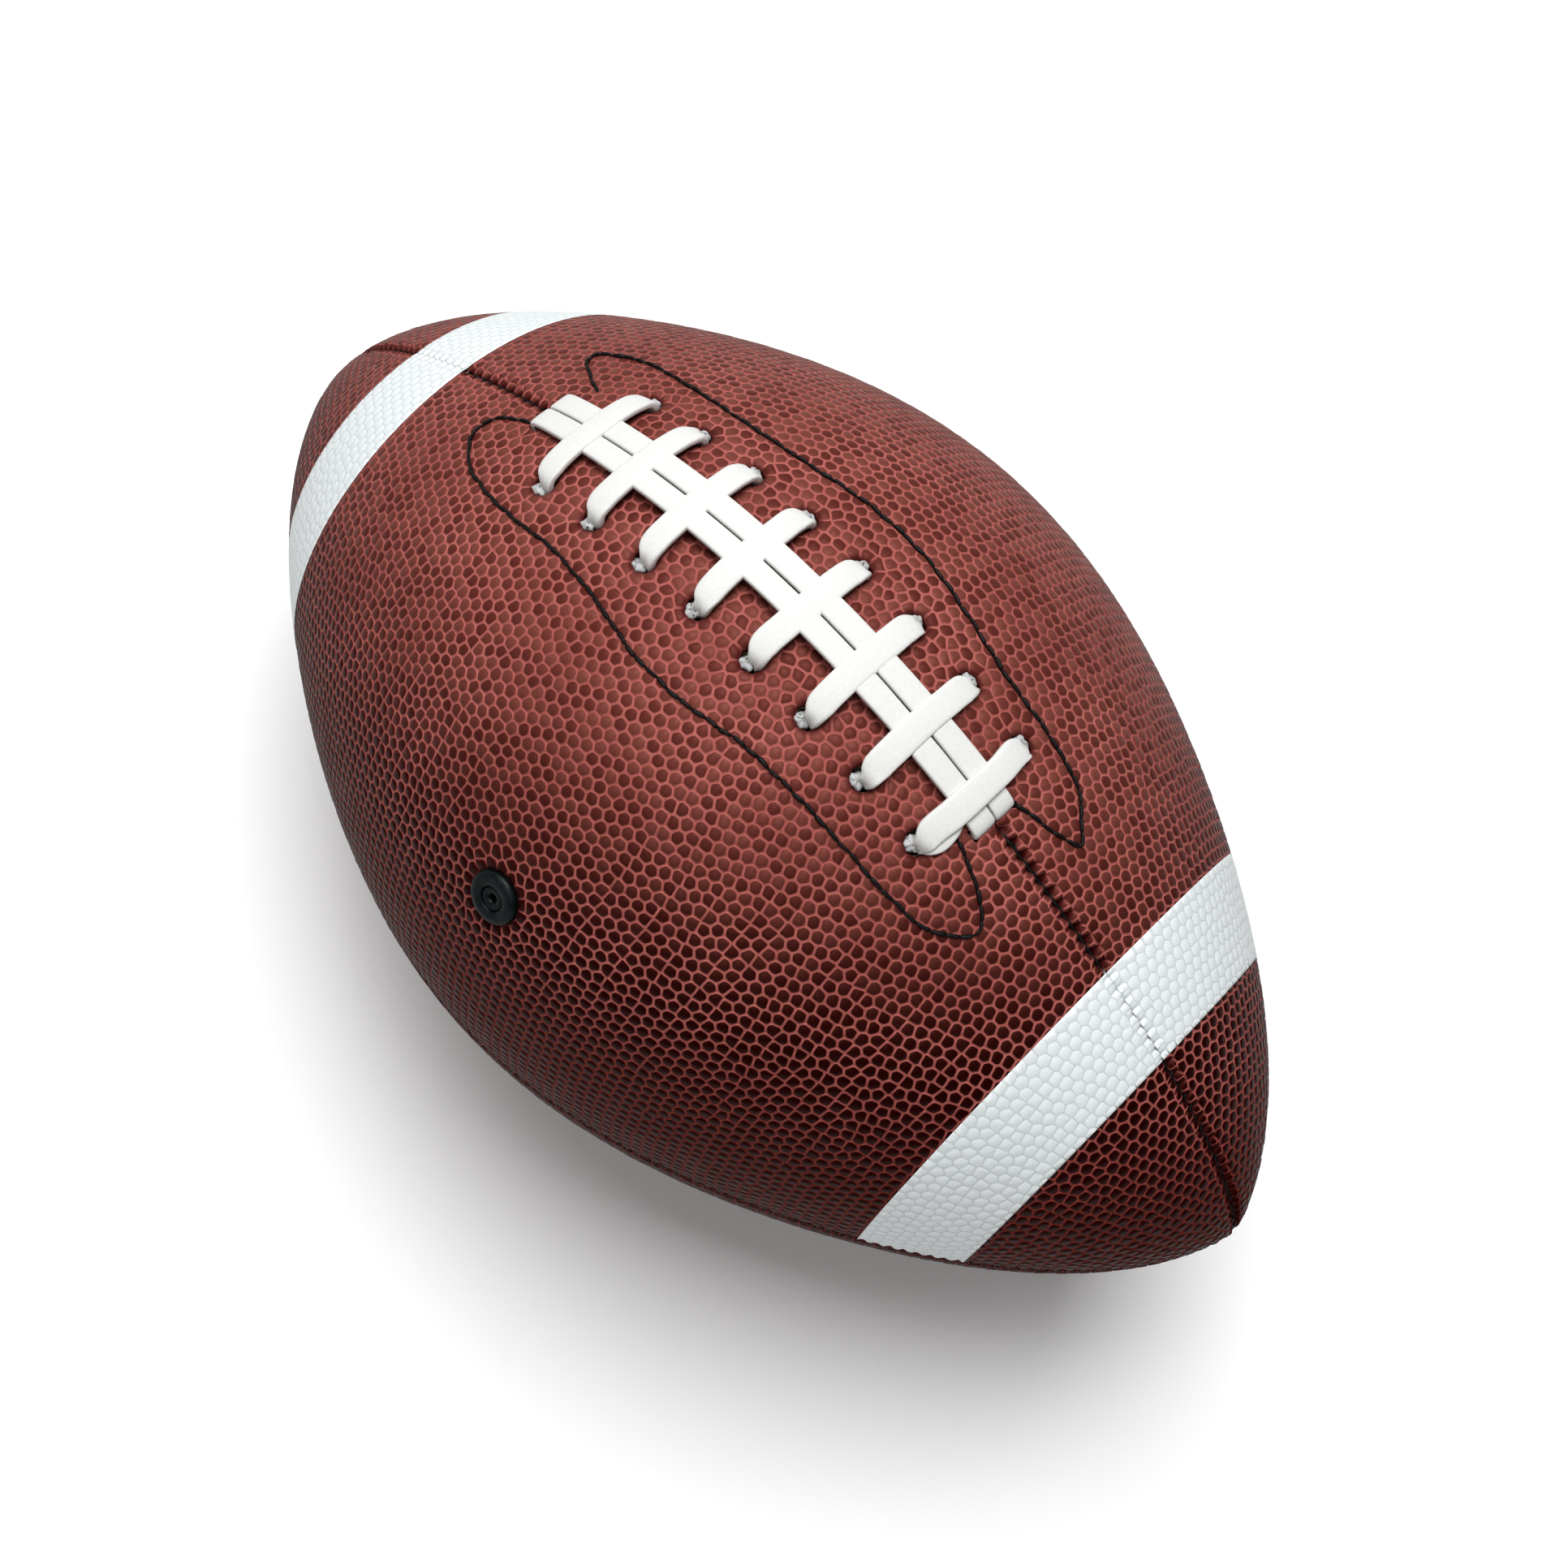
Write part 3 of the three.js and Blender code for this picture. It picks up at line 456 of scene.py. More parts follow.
def leather_finish(look):
    """Pebbled leather: dark tops, bright valleys, and dark folds at seams and holes that are painted shade.
    Painted light makes it paler round the lace and toward the rear; painted shade keeps it deep red low down
    in front."""
    finish = Finish("pebbled_leather", roughness=0.5, Specular_IOR_Level=0.18,
                    Specular_Tint=(1.0, 0.55, 0.5, 1.0))
    x, y, z = finish.split(finish.place)
    high = z + PAINTED_LIGHT_ACROSS * y - PAINTED_LIGHT_ALONG * x
    fine = finish.noise(2600, 3, 0.6)
    broad = finish.noise(38, 3, 0.55)
    rise = finish.attribute("rise")
    tone = finish.attribute("tone")
    fold = finish.attribute("fold")
    top = finish.step(rise + (fine - 0.5) * 0.35, 0.45, 0.85)
    shade = finish.step(tone + (broad - 0.5) * 0.4, 0.1, 0.9)
    # Painted light and shade: tops grow paler toward the upper side and rear and go deep red low down in
    # front
    painted_light_share = finish.step(high, *PAINTED_LIGHT_TOPS)
    pebble = finish.blend(painted_light_share, look.top_painted_shade, finish.blend(shade, look.top_dark, look.top_colour))
    valley = finish.blend(finish.step(broad + (fine - 0.5) * 0.5, 0.2, 0.8), look.valley_dark,
                          look.valley_colour)
    # The valleys get the same painted light and shade
    valley = finish.blend(finish.step(high, *PAINTED_LIGHT_VALLEYS), look.valley_painted_shade, valley)
    skin = finish.blend(top, valley, pebble)
    # Painted shade: the fold colour darkens the creases at seams, the hole rims, the dip under the facing
    # thread and the walls
    finish.feed(Base_Color=finish.blend(finish.step(fold, 0.15, 1.0), skin, look.fold_shade_colour),
                Roughness=0.60 - 0.20 * top + (fine - 0.5) * 0.16)
    finish.bump(fine, 0.35, 0.00012)
    return finish.material


def paint_finish(look):
    """White band paint over the pebbles, greyer in the valleys, which is painted shade."""
    finish = Finish("band_paint", roughness=0.5)
    fine = finish.noise(1800, 3, 0.6)
    rise = finish.attribute("rise")
    top = finish.step(rise + (fine - 0.5) * 0.3, 0.1, 0.8)
    # Painted shade: the paint goes greyer in its valleys
    finish.feed(Base_Color=finish.blend(top, look.paint_in_shade, look.paint_colour),
                Roughness=0.46 + 0.12 * fine)
    finish.bump(fine, 0.25, 0.0001)
    return finish.material


BRAID = 8.5  # turns of the lace's weave, in radians per mm


def lace_finish(look):
    """Flat woven lace: a fine braid from two crossed waves of its own length and width."""
    finish = Finish("woven_lace", roughness=0.75, Sheen_Weight=0.15)
    along = finish.attribute("along")
    across = finish.attribute("across")
    shade = finish.attribute("shade")
    slants = ((along + across) * BRAID, (along - across) * BRAID)
    first, second = (slant.math("SINE", slant) for slant in slants)
    braid = first * second
    fuzz = finish.noise(1500, 3, 0.6)
    dots = finish.node("ShaderNodeTexVoronoi", sockets={"Vector": finish.place, "Scale": 900})
    pits = 1 - finish.step(dots, 0.12, 0.34)
    body = finish.blend(finish.step(fuzz + braid * 0.12, 0.2, 0.8),
                        tuple(0.93 * c for c in look.lace_colour), look.lace_colour)
    # Painted shade: the crumpled lace in the holes is a grey copy of the lace, with near-black pits in its
    # weave
    crumpled = finish.blend(pits, look.lace_shade, (0.05, 0.05, 0.05))
    finish.feed(Base_Color=finish.blend(shade, body, crumpled))
    finish.bump(braid * 0.5 + fuzz, 0.22, 0.0001)
    return finish.material


def thread_finish(look, paint):
    """Waxed black thread, painted over where it runs under a band, in the paint's greyer valley colour,
    which is painted shade.
    """
    finish = Finish("waxed_thread", roughness=0.5, Specular_IOR_Level=0.3)
    fibre = finish.noise(3200, 2, 0.6)
    dark = finish.blend(fibre, look.thread_colour, tuple(1.8 * c for c in look.thread_colour))
    # Painted shade: the painted thread takes the paint's greyer valley colour
    finish.feed(Base_Color=finish.blend(finish.attribute("painted"), dark, paint.paint_in_shade),
                Roughness=0.42 + 0.25 * fibre)
    finish.bump(fibre, 0.4, 0.0001)
    return finish.material


def rubber_finish(name, colour, roughness=0.42):
    """Moulded rubber with a dusty bloom."""
    finish = Finish(name, roughness=roughness, Specular_IOR_Level=0.35)
    dust = finish.noise(420, 4, 0.65)
    speck = finish.noise(2400, 2, 0.5)
    bloom = finish.step(dust, 0.42, 0.75)
    finish.feed(Base_Color=finish.blend(bloom, colour, tuple(2.2 * c + 0.006 for c in colour)),
                Roughness=roughness + 0.22 * bloom + 0.1 * (speck - 0.5))
    finish.bump(speck, 0.18, 0.0001)
    return finish.material


def cloth_finish():
    """Woven lining cloth: two crossed sets of threads."""
    finish = Finish("lining_cloth", roughness=0.9)
    warp, weft = (finish.node("ShaderNodeTexWave", {"bands_direction": direction}, {
        "Vector": finish.place, "Scale": 420, "Distortion": 1.5}) for direction in "XY")
    grain = 0.5 * warp + 0.5 * weft + 0.2 * finish.noise(300)
    finish.feed(Base_Color=finish.blend(grain, (0.42, 0.37, 0.27), (0.6, 0.54, 0.42)))
    finish.bump(grain, 0.3, 0.0002)
    return finish.material


def suede_finish():
    """The rough side of leather, for the facings and the tongue."""
    finish = Finish("facing_suede", roughness=0.9)
    nap = finish.noise(700, 4, 0.65)
    finish.feed(Base_Color=finish.blend(nap, (0.075, 0.022, 0.014), (0.15, 0.05, 0.032)),
                Roughness=0.8 + 0.15 * nap)
    finish.bump(nap, 0.4, 0.0003)
    return finish.material


# --------------------------------------------------------------------------------- pebble grain

def void_ring(offset, outline):
    """Points outside and inside an outline given as (x, y, outward x, outward y) rows."""
    return outline[:, :2] + offset * outline[:, 2:], outline[:, :2] - offset * outline[:, 2:]


def round_outline(radius, spacing):
    """Points round a circle, with their outward directions."""
    count = int(round(2 * np.pi * (radius + 0.45 * spacing) / spacing))
    turn = (np.arange(count) + 0.5) * 2 * np.pi / count
    direction = np.stack((np.cos(turn), np.sin(turn)), -1)
    return np.hstack((radius * direction, direction))


def slot_outline(half_long, reach, spacing):
    """Points along three sides of a slot that is open at the seam: two sides away from the
    seam and the end, with their outward directions."""
    count = int(round(reach / spacing))
    y = (np.arange(count) + 0.5) * reach / count
    one = np.ones(count)
    ends = np.array([-0.5, 0.5]) * half_long
    return np.concatenate((
        np.stack((-half_long * one, y, -one, 0 * one), -1),
        np.stack((half_long * one, y, one, 0 * one), -1),
        np.stack((ends, reach + 0 * ends, 0 * ends, 1 + 0 * ends), -1)))


class Void:
    """An opening in a panel: its middle (s, arc from the panel's first seam), its outline, a
    function of local x and y that gives the distance outside it, and how far from the outline
    the nearest centres lie."""

    def __init__(self, s, arc, outline, distance, offset):
        self.s, self.arc, self.outline = s, arc, outline
        self.distance, self.offset = distance, offset

    def angle(self, ball):
        """Its middle's angle from the panel's first seam. A negative arc is from the second."""
        turn = self.arc / ball.radius(ball.x_of_s(self.s))
        return turn if self.arc >= 0 else QUARTER + turn

    def gap(self, ball, s, angle):
        """How far outside it the places (s, angle) lie."""
        return self.distance(s - self.s, (angle - self.angle(ball)) * ball.radius(ball.x_of_s(s)))

    @classmethod
    def round(cls, s, arc, radius, pitch):
        """A round hole."""
        return cls(s, arc, round_outline(radius, pitch),
                   lambda x, y: np.hypot(x, y) - radius, 0.45 * pitch)

    @classmethod
    def slot(cls, s, side, half_long, reach, pitch, arc):
        """A slot that is open at the seam and reaches into the panel on one side of it."""
        outline = slot_outline(half_long, reach, pitch) * np.array([1, side, 1, side])
        return cls(s, arc, outline,
                   lambda x, y: np.maximum(np.abs(x) - half_long, np.abs(y) - reach), 0.8 * half_long)


# The angle of a panel's two seams from its first one, and the way into the panel
PANEL_SEAMS = ((0.0, 1), (QUARTER, -1))


def seam_phase(s, side):
    """The phase of the stitching along a seam, one turn for each stitch, a little uneven."""
    return 2 * np.pi * s / (settings()[2].stitch_pitch / MM) + 1.2 * wobble(s, 31 + side, reach=9)


class Grain:
    """The pebbles of one panel as Voronoi cells in (v, angle from the panel's first seam).

    Rows of centres lie pitch * ROW_SHARE apart, each with as many as its arc holds, and stray by
    the jitter. Along each seam lies a row of small cells, two for each stitch. Centres are
    mirrored in the seams and the ends, so that cell edges lie on them, and in the outlines of
    the openings. A cell's corners are the circumcentres of the triangles round its centre, in
    order of angle. After each round a centre moves to the middle of its cell."""

    ROW_SHARE = 0.866
    SEAM_ROW = 0.6  # small cells' centres from the seam, in mm
    SEAM_MARGIN = 1.3  # the other centres from the seam, in mm
    FREE_CLEARANCE, PUCKER_CLEARANCE = 0.5, 0.3  # from an opening's own centres, in pitches
    END_CLEARANCE = 0.3  # from the panel's ends, in pitches
    MIRROR_REACH = 3.2  # how far in centres are mirrored, in pitches
    SAME_CORNER = 2e-6  # corners nearer than this are one

    def __init__(self, ball, pitch, jitter, seed, voids, rounds=4):
        self.ball = ball
        self.pitch = pitch
        rng = np.random.default_rng(seed)
        puckers = self.puckers()
        centres = np.concatenate((self.spread(rng, jitter), puckers))
        free_row = np.arange(len(centres)) < len(centres) - len(puckers)
        s, angle = centres.T
        clearance = np.where(free_row, self.FREE_CLEARANCE, self.PUCKER_CLEARANCE) * pitch
        keep = np.ones(len(s), dtype=bool)
        fixed, ghosts = [], []
        for void in voids:
            keep &= void.gap(ball, s, angle) > void.offset + clearance
            outside, inside = void_ring(void.offset, void.outline)
            for group, points in ((fixed, outside), (ghosts, inside)):
                near_s = void.s + points[:, 0]
                turn = points[:, 1] / ball.radius(ball.x_of_s(near_s))
                group.append(np.stack((near_s, void.angle(ball) + turn), -1))
        places = np.stack((ball.v_of_x(ball.x_of_s(s)), angle), -1)
        free = places[keep & free_row]
        self.voids = voids
        self.ghosts = self.to_v(ghosts)
        points = np.concatenate((free, places[keep & ~free_row], self.to_v(fixed)))
        for _ in range(rounds):
            self.divide(points)
            middle = self.centroids()
            points[:len(free)] = middle[:len(free)]
        self.divide(points)
        self.points = self.centroids()
        self.tone = np.random.default_rng(seed + 1).uniform(0, 1, len(points))

    def to_v(self, groups):
        """Groups of (s, angle) places as one array of (v, angle) places."""
        if not groups:
            return np.empty((0, 2))
        points = np.concatenate(groups)
        return np.stack((self.ball.v_of_x(self.ball.x_of_s(points[:, 0])), points[:, 1]), -1)

    def spread(self, rng, jitter):
        """Centres in even rows from end to end, each strayed by the jitter."""
        ball, pitch = self.ball, self.pitch
        rows = int(round((ball.s[-1] - ball.s[0]) / (self.ROW_SHARE * pitch)))
        row_s = ball.s[0] + (np.arange(rows) + 0.5) * (ball.s[-1] - ball.s[0]) / rows
        row_r = ball.radius(ball.x_of_s(row_s))
        margin = self.SEAM_MARGIN / row_r
        count = np.maximum(0, np.round((QUARTER - 2 * margin) * row_r / pitch)).astype(int)
        row, nth = place_in_groups(count)
        share = (nth + 0.5 + 0.25 * (-1.0) ** row) / count[row]
        angle = margin[row] + share * (QUARTER - 2 * margin[row])
        stray = rng.uniform(-jitter, jitter, (2, len(row))) * pitch
        s = row_s[row] + stray[0]
        angle = angle + stray[1] / row_r[row]
        edge = np.minimum((self.SEAM_MARGIN + 0.2 * pitch) / row_r[row], QUARTER / 2)
        limit = self.END_CLEARANCE * pitch
        return np.stack((np.clip(s, ball.s[0] + limit, ball.s[-1] - limit),
                         np.clip(angle, edge, QUARTER - edge)), -1)

    def puckers(self):
        """Centres of the small cells along both seams: a quarter and three quarters of the way
        through each stitch."""
        ball = self.ball
        rows = []
        for nth, (seam, way) in enumerate(PANEL_SEAMS):
            phase = seam_phase(ball.s, nth)
            first, last = np.ceil(phase[0] / np.pi) + 1, np.floor(phase[-1] / np.pi) - 1
            s = np.interp((np.arange(first, last) + 0.5) * np.pi, phase, ball.s)
            off = np.minimum(self.SEAM_ROW / ball.radius(ball.x_of_s(s)), 0.45 * QUARTER)
            rows.append(np.stack((s, seam + way * off), -1))
        return np.concatenate(rows)

    def mirrored(self, points):
        """The points with their mirror images in both seams and both ends."""
        reach = self.MIRROR_REACH * self.pitch
        r = self.ball.radius(self.ball.x_of_v(points[:, 0]))
        sets = [points]
        for seam in (0, QUARTER):
            near = np.abs(points[:, 1] - seam) * r < reach
            sets.append(np.stack((points[near, 0], 2 * seam - points[near, 1]), -1))
        wide = np.concatenate(sets)
        sets = [wide]
        s = self.ball.s_of_x(self.ball.x_of_v(wide[:, 0]))
        for end in (0, -1):
            near = np.abs(s - self.ball.s[end]) < reach
            sets.append(np.stack((2 * self.ball.v[end] - wide[near, 0], wide[near, 1]), -1))
        return np.concatenate(sets)

    def divide(self, points):
        """Works out the cells: for each half edge its cell, its corner and the next one."""
        real = len(points)
        every = self.mirrored(np.concatenate((points, self.ghosts)))
        tri = triangles(every, [])
        a, b, c = every[tri[:, 0]], every[tri[:, 1]], every[tri[:, 2]]
        ab, ac = b - a, c - a
        twice = 2 * (ab[:, 0] * ac[:, 1] - ab[:, 1] * ac[:, 0])
        ab2, ac2 = (ab ** 2).sum(1), (ac ** 2).sum(1)
        offset = np.stack((ac[:, 1] * ab2 - ab[:, 1] * ac2, ab[:, 0] * ac2 - ac[:, 0] * ab2), -1)
        centre = a + offset / twice[:, None]
        cell = tri.ravel()
        corner = np.repeat(np.arange(len(tri)), 3)
        keep = cell < real
        cell, corner = cell[keep], corner[keep]
        away = centre[corner] - every[cell]
        order = np.lexsort((-np.arctan2(away[:, 1], away[:, 0]), cell))
        cell, corner = cell[order], corner[order]
        used, corner = np.unique(corner, return_inverse=True)
        _, first, same = np.unique(np.round(centre[used] / self.SAME_CORNER).astype(np.int64), axis=0,
                                   return_index=True, return_inverse=True)
        corner = same.ravel()[corner]
        corners = centre[used][first]
        before = self.shifted(cell, corner, -1)
        keep = corner != before
        self.real, self.cell, self.corner, self.corners = real, cell[keep], corner[keep], corners
        self.after = self.shifted(self.cell, self.corner, 1)
        self.source = points

    @staticmethod
    def shifted(cell, values, by):
        """The values moved on by one place within each cell, round its ring."""
        start = np.flatnonzero(np.diff(cell, prepend=-1))
        end = np.append(start[1:], len(cell)) - 1
        moved = np.roll(values, -by)
        if by > 0:
            moved[end] = values[start]
        else:
            moved[start] = values[end]
        return moved

    def centroids(self):
        """The middle of each cell, from the triangles between its point and its edges."""
        origin = self.source[self.cell]
        a, b = self.corners[self.corner] - origin, self.corners[self.after] - origin
        cross = a[:, 0] * b[:, 1] - a[:, 1] * b[:, 0]
        start = np.flatnonzero(np.diff(self.cell, prepend=-1))
        area = np.add.reduceat(cross, start)
        moment = np.add.reduceat((a + b) * cross[:, None], start)
        return self.source + moment / (3 * area[:, None])


class Panel:
    """One leather panel: its grain, raised pebbles, rolled edges and openings."""

    RIM_SHARE = 0.3  # rim points along a cell's edge
    NARROWEST_TOP, WIDEST_TOP = 0.3, 0.9  # a pebble's top as a share of its cell
    LEAST_SWELL, SWELL_SPREAD = 0.82, 0.3  # height of the tops, in pebble heights
    BAND_DIMPLE = 0.25  # depth of the seam under paint, in mm
    PULL_DEPTH, PULL_REACH = 0.22, 2.4  # the wide dip at a stitch, in mm
    SEAM_OPENING, CREASE_OPENING, OPENING_REACH = 0.05, 0.28, 0.9  # edges drawn apart, in mm
    WALL_GAP = 0.2  # back edge from the seam, in mm

    def __init__(self, ball, grain, start_angle, sunk, look):
        self.ball, self.grain, self.start, self.sunk = ball, grain, start_angle, sunk
        self.height = look.pebble_height / MM
        self.curl = look.seam_curl / MM
        self.build(look.valley_width / MM)

    def build(self, flank):
        """Outer corners lie in the valleys. Each half edge adds two points of the pebble's
        rim, three tenths of the edge from its ends and drawn a flank's width towards the
        middle of the cell."""
        grain = self.grain
        self.base = len(grain.corners)
        a, b = grain.corners[grain.corner], grain.corners[grain.after]
        middle = grain.points[grain.cell]
        r = self.ball.radius(self.ball.x_of_v(middle[:, 0]))[:, None]
        rim = np.stack((a + self.RIM_SHARE * (b - a), b + self.RIM_SHARE * (a - b)), 1)
        away = rim - middle[:, None]
        far = np.linalg.norm(away, axis=2) * r
        top = np.clip(1 - flank / far, self.NARROWEST_TOP, self.WIDEST_TOP)
        rim = middle[:, None] + away * top[..., None]
        self.flat = np.concatenate((grain.corners, rim.reshape(-1, 2)))
        cells = np.repeat(grain.cell, 2)
        self.rise = np.concatenate((np.zeros(self.base), np.ones(len(cells))))
        swell = self.LEAST_SWELL + self.SWELL_SPREAD * grain.tone
        self.swell = np.concatenate((np.zeros(self.base), swell[cells]))
        self.tone = np.concatenate((np.full(self.base, 0.5), grain.tone[cells]))
        self.first = self.base + 2 * np.arange(len(grain.cell))

    def points(self, floor=0.0, lift=0.0, open_seam=1.0):
        """Points of the outer skin and how deep each is in a fold, which sets its painted shade. The height
        is -pebble height * (1 - swell), less the roll of the edge, a bell curve of the distance from the
        seam that is deeper where a stitch pulls, less the dip round a hole or under a thread."""
        v, angle = self.flat.T
        x = self.ball.x_of_v(v)
        r = self.ball.radius(x)
        s = self.ball.s_of_x(x)
        height = -self.height * (1 - floor) * (1 - self.swell)
        fold = np.zeros(len(x))
        moved = angle.copy()
        for nth, (seam, way) in enumerate(PANEL_SEAMS):
            d = np.abs(angle - seam) * r
            pull = 0.5 + 0.5 * np.cos(seam_phase(s, nth))
            crease = pull ** 3 * (1.5 if nth else 0.8)
            depth = self.curl * (0.7 + 0.5 * pull) * open_seam
            depth += self.BAND_DIMPLE * (1 - open_seam) * (0.3 + pull)
            height -= depth * np.exp(-(d / (0.6 + 0.7 * crease)) ** 2)
            height -= self.PULL_DEPTH * pull * np.exp(-(d / self.PULL_REACH) ** 2)
            open_by = open_seam * (self.SEAM_OPENING + self.CREASE_OPENING * crease)
            open_by -= self.SEAM_OPENING * (1 - open_seam)
            moved += way * open_by * np.exp(-d / self.OPENING_REACH) / r
            # The fold darkens the leather at the seams: painted shade in the creases
            fold = np.maximum(fold, (0.6 + 0.5 * crease) * np.exp(-(d / (0.5 + 1.3 * crease)) ** 2))
        # Round holes, under the facing thread and round the valve the fold adds painted shade where the
        # leather dips
        for distance, depth, reach, dark in self.sunk:
            d = np.maximum(distance(x, self.start + angle), 0)
            height -= depth * np.exp(-(d / reach) ** 2)
            fold = np.maximum(fold, dark * np.exp(-(d / reach) ** 2))
        return self.ball.place(x, self.start + moved, height + lift), fold

    def skin_faces(self, chosen=None):
        """Flanks, corners and tops of the pebbles, of all cells or of the chosen ones."""
        grain = self.grain
        edge = np.arange(len(grain.cell)) if chosen is None else np.flatnonzero(chosen[grain.cell])
        before = grain.shifted(grain.cell, self.first, -1)
        one, two = grain.corner[edge], grain.after[edge]
        near, far, last = self.first[edge], self.first[edge] + 1, before[edge] + 1
        flank = np.stack((one, two, far, near), -1)
        nook = np.stack((one, near, last), -1)
        top = np.stack((near, far), -1).ravel()
        sizes = 2 * np.bincount(grain.cell[edge], minlength=grain.real)
        return [flank, nook, (top, sizes[sizes > 0])]

    def shell(self, depth):
        """The closed panel: the pebbled skin, walls down from its edges, and a plain back of
        wide triangles between the same edge corners."""
        outer, fold = self.points()
        grain = self.grain
        one, two = grain.corner, grain.after
        edge = ~np.isin(one * self.base + two, two * self.base + one)
        one, two = one[edge], two[edge]
        rim = np.unique(one)
        where = np.full(self.base, -1)
        where[rim] = np.arange(len(rim))
        low_one, low_two = where[one], where[two]
        flat, back = self.back(grain.corners[rim], np.stack((low_one, low_two), -1))
        x = self.ball.x_of_v(flat[:, 0])
        gap = self.WALL_GAP / self.ball.radius(x)
        inner = self.ball.sink(x, self.start + np.clip(flat[:, 1], gap, QUARTER - gap), depth)
        count = len(outer)
        points = np.concatenate((outer, inner))
        wall = np.stack((two, one, count + low_one, count + low_two), -1)
        faces = self.skin_faces() + [count + back, wall]
        deep = np.ones(len(inner))
        # The walls and the back are all fold: painted shade
        attributes = {
            "rise": np.concatenate((self.rise, 0 * deep)),
            "tone": np.concatenate((self.tone, 0.5 * deep)),
            "fold": np.concatenate((fold, deep)),
        }
        return points, faces, attributes

    def back(self, rim, edges):
        """The panel's back in (v, angle): its edge corners with a wide grid of points inside,
        in triangles that face down. Those between corners of one opening are left out."""
        ball, grain = self.ball, self.grain
        rows = np.arange(ball.s[0] + 9, ball.s[-1] - 9, 8)
        s, share = np.meshgrid(rows, np.linspace(0.06, 0.94, 12))
        s, angle = s.ravel(), share.ravel() * QUARTER
        inside = np.stack((ball.v_of_x(ball.x_of_s(s)), angle), -1)
        keep = np.ones(len(inside), dtype=bool)
        mark = np.full(len(rim), -1)
        rim_s = ball.s_of_x(ball.x_of_v(rim[:, 0]))
        for nth, void in enumerate(grain.voids):
            keep &= void.gap(ball, s, angle) > 1.5
            mark[void.gap(ball, rim_s, rim[:, 1]) < 0.5] = nth
        flat = np.concatenate((rim, inside[keep]))
        mark = np.concatenate((mark, np.arange(keep.sum()) + len(grain.voids)))
        tri = triangles(flat, edges.tolist())
        marks = mark[tri]
        drop = (marks[:, 0] >= 0) & (marks == marks[:, :1]).all(1)
        for seam, _ in PANEL_SEAMS:
            drop |= (np.abs(flat[tri][:, :, 1] - seam) < 1e-7).all(1)
        return flat, tri[~drop]


# Each panel's first seam, in degrees from the ball's right side, and its side of the lacing
PANELS = {
    "laced_right": (0, 1),
    "laced_left": (90, -1),
    "plain_left": (180, 0),
    "plain_right": (270, 0),
}


def panel_voids(ball, side, pitch):
    """Openings of a laced panel: lace holes, the two end slots and, on the left, the valve."""
    shape, _, lacing, _ = settings()
    bars, front, rear = lacing_rows(shape)
    arc = shape.hole_arc / MM
    voids = [Void.round(ball.s_of_x(x), -arc if side > 0 else arc, shape.hole_diameter / MM / 2, pitch)
             for x in bars]
    reach = (lacing.strand_arc + lacing.strand_width / 2) / MM + 0.3
    voids += [Void.slot(ball.s_of_x(x), -side, lacing.thickness / MM / 2 + 0.15, reach, pitch,
                        -1e-9 if side > 0 else 0) for x in (front, rear)]
    if side < 0:
        valve_arc = (shape.valve_angle - QUARTER) * ball.belly
        voids.append(Void.round(0, valve_arc, shape.valve_radius / MM + 0.1, pitch))
    return voids


def surface_distance(ball, x0, arc0, radius):
    """The distance outside a circle round a point at x0 and at an arc from the lace seam."""
    s0 = ball.s_of_x(x0)

    def distance(x, angle):
        return np.hypot(ball.s_of_x(x) - s0, (QUARTER - angle) * ball.radius(x) - arc0) - radius
    return distance


def line_distance(ball, line):
    """The distance from a line of (s, arc from the lace seam) points."""

    def distance(x, angle):
        place = np.stack((ball.s_of_x(x), (QUARTER - angle) * ball.radius(x)), -1)
        result = np.full(len(place), 99.0)
        low, high = line.min(0) - 4, line.max(0) + 4
        near = np.flatnonzero(((place > low) & (place < high)).all(1))
        for part in np.array_split(near, 24):
            gap = place[part][:, None] - line[None]
            result[part] = np.sqrt((gap ** 2).sum(-1).min(1))
        return result
    return distance


# Stitching round the facings: [cross bars from the middle of the row, millimetres outside the
# line of lace holes]
FACING_OUTLINES = {
    -1: ((-4.35, -9.2), (-4.75, -8.5), (-5.05, -6.2), (-5.15, -2.2), (-4.85, 3.3), (-4.25, 7.1),
         (-3.4, 8.7), (-2.5, 9.1), (-1.55, 11.3), (-0.55, 14.1), (0.3, 13.9), (1.3, 11.5),
         (2.7, 10.5), (3.85, 9.7), (4.4, 7.3), (4.75, 1.3), (4.45, -2.8), (4.05, -4.9),
         (3.65, -6.6)),
    1: ((-4.2, -4.6), (-4.6, -1.6), (-4.95, 1.8), (-5, 5.1), (-4.7, 7.8), (-4.25, 9.6),
        (-3.4, 9.5), (-2.25, 9.2), (-1.1, 10.3), (-0.15, 12.3), (0.85, 12.5), (1.8, 10.1),
        (2.7, 7.5), (3.7, 6.3), (4.35, 4.1), (4.65, 0.3), (4.86, -2.8), (4.55, -5.6),
        (4.16, -7.5), (3.8, -9.3)),
}


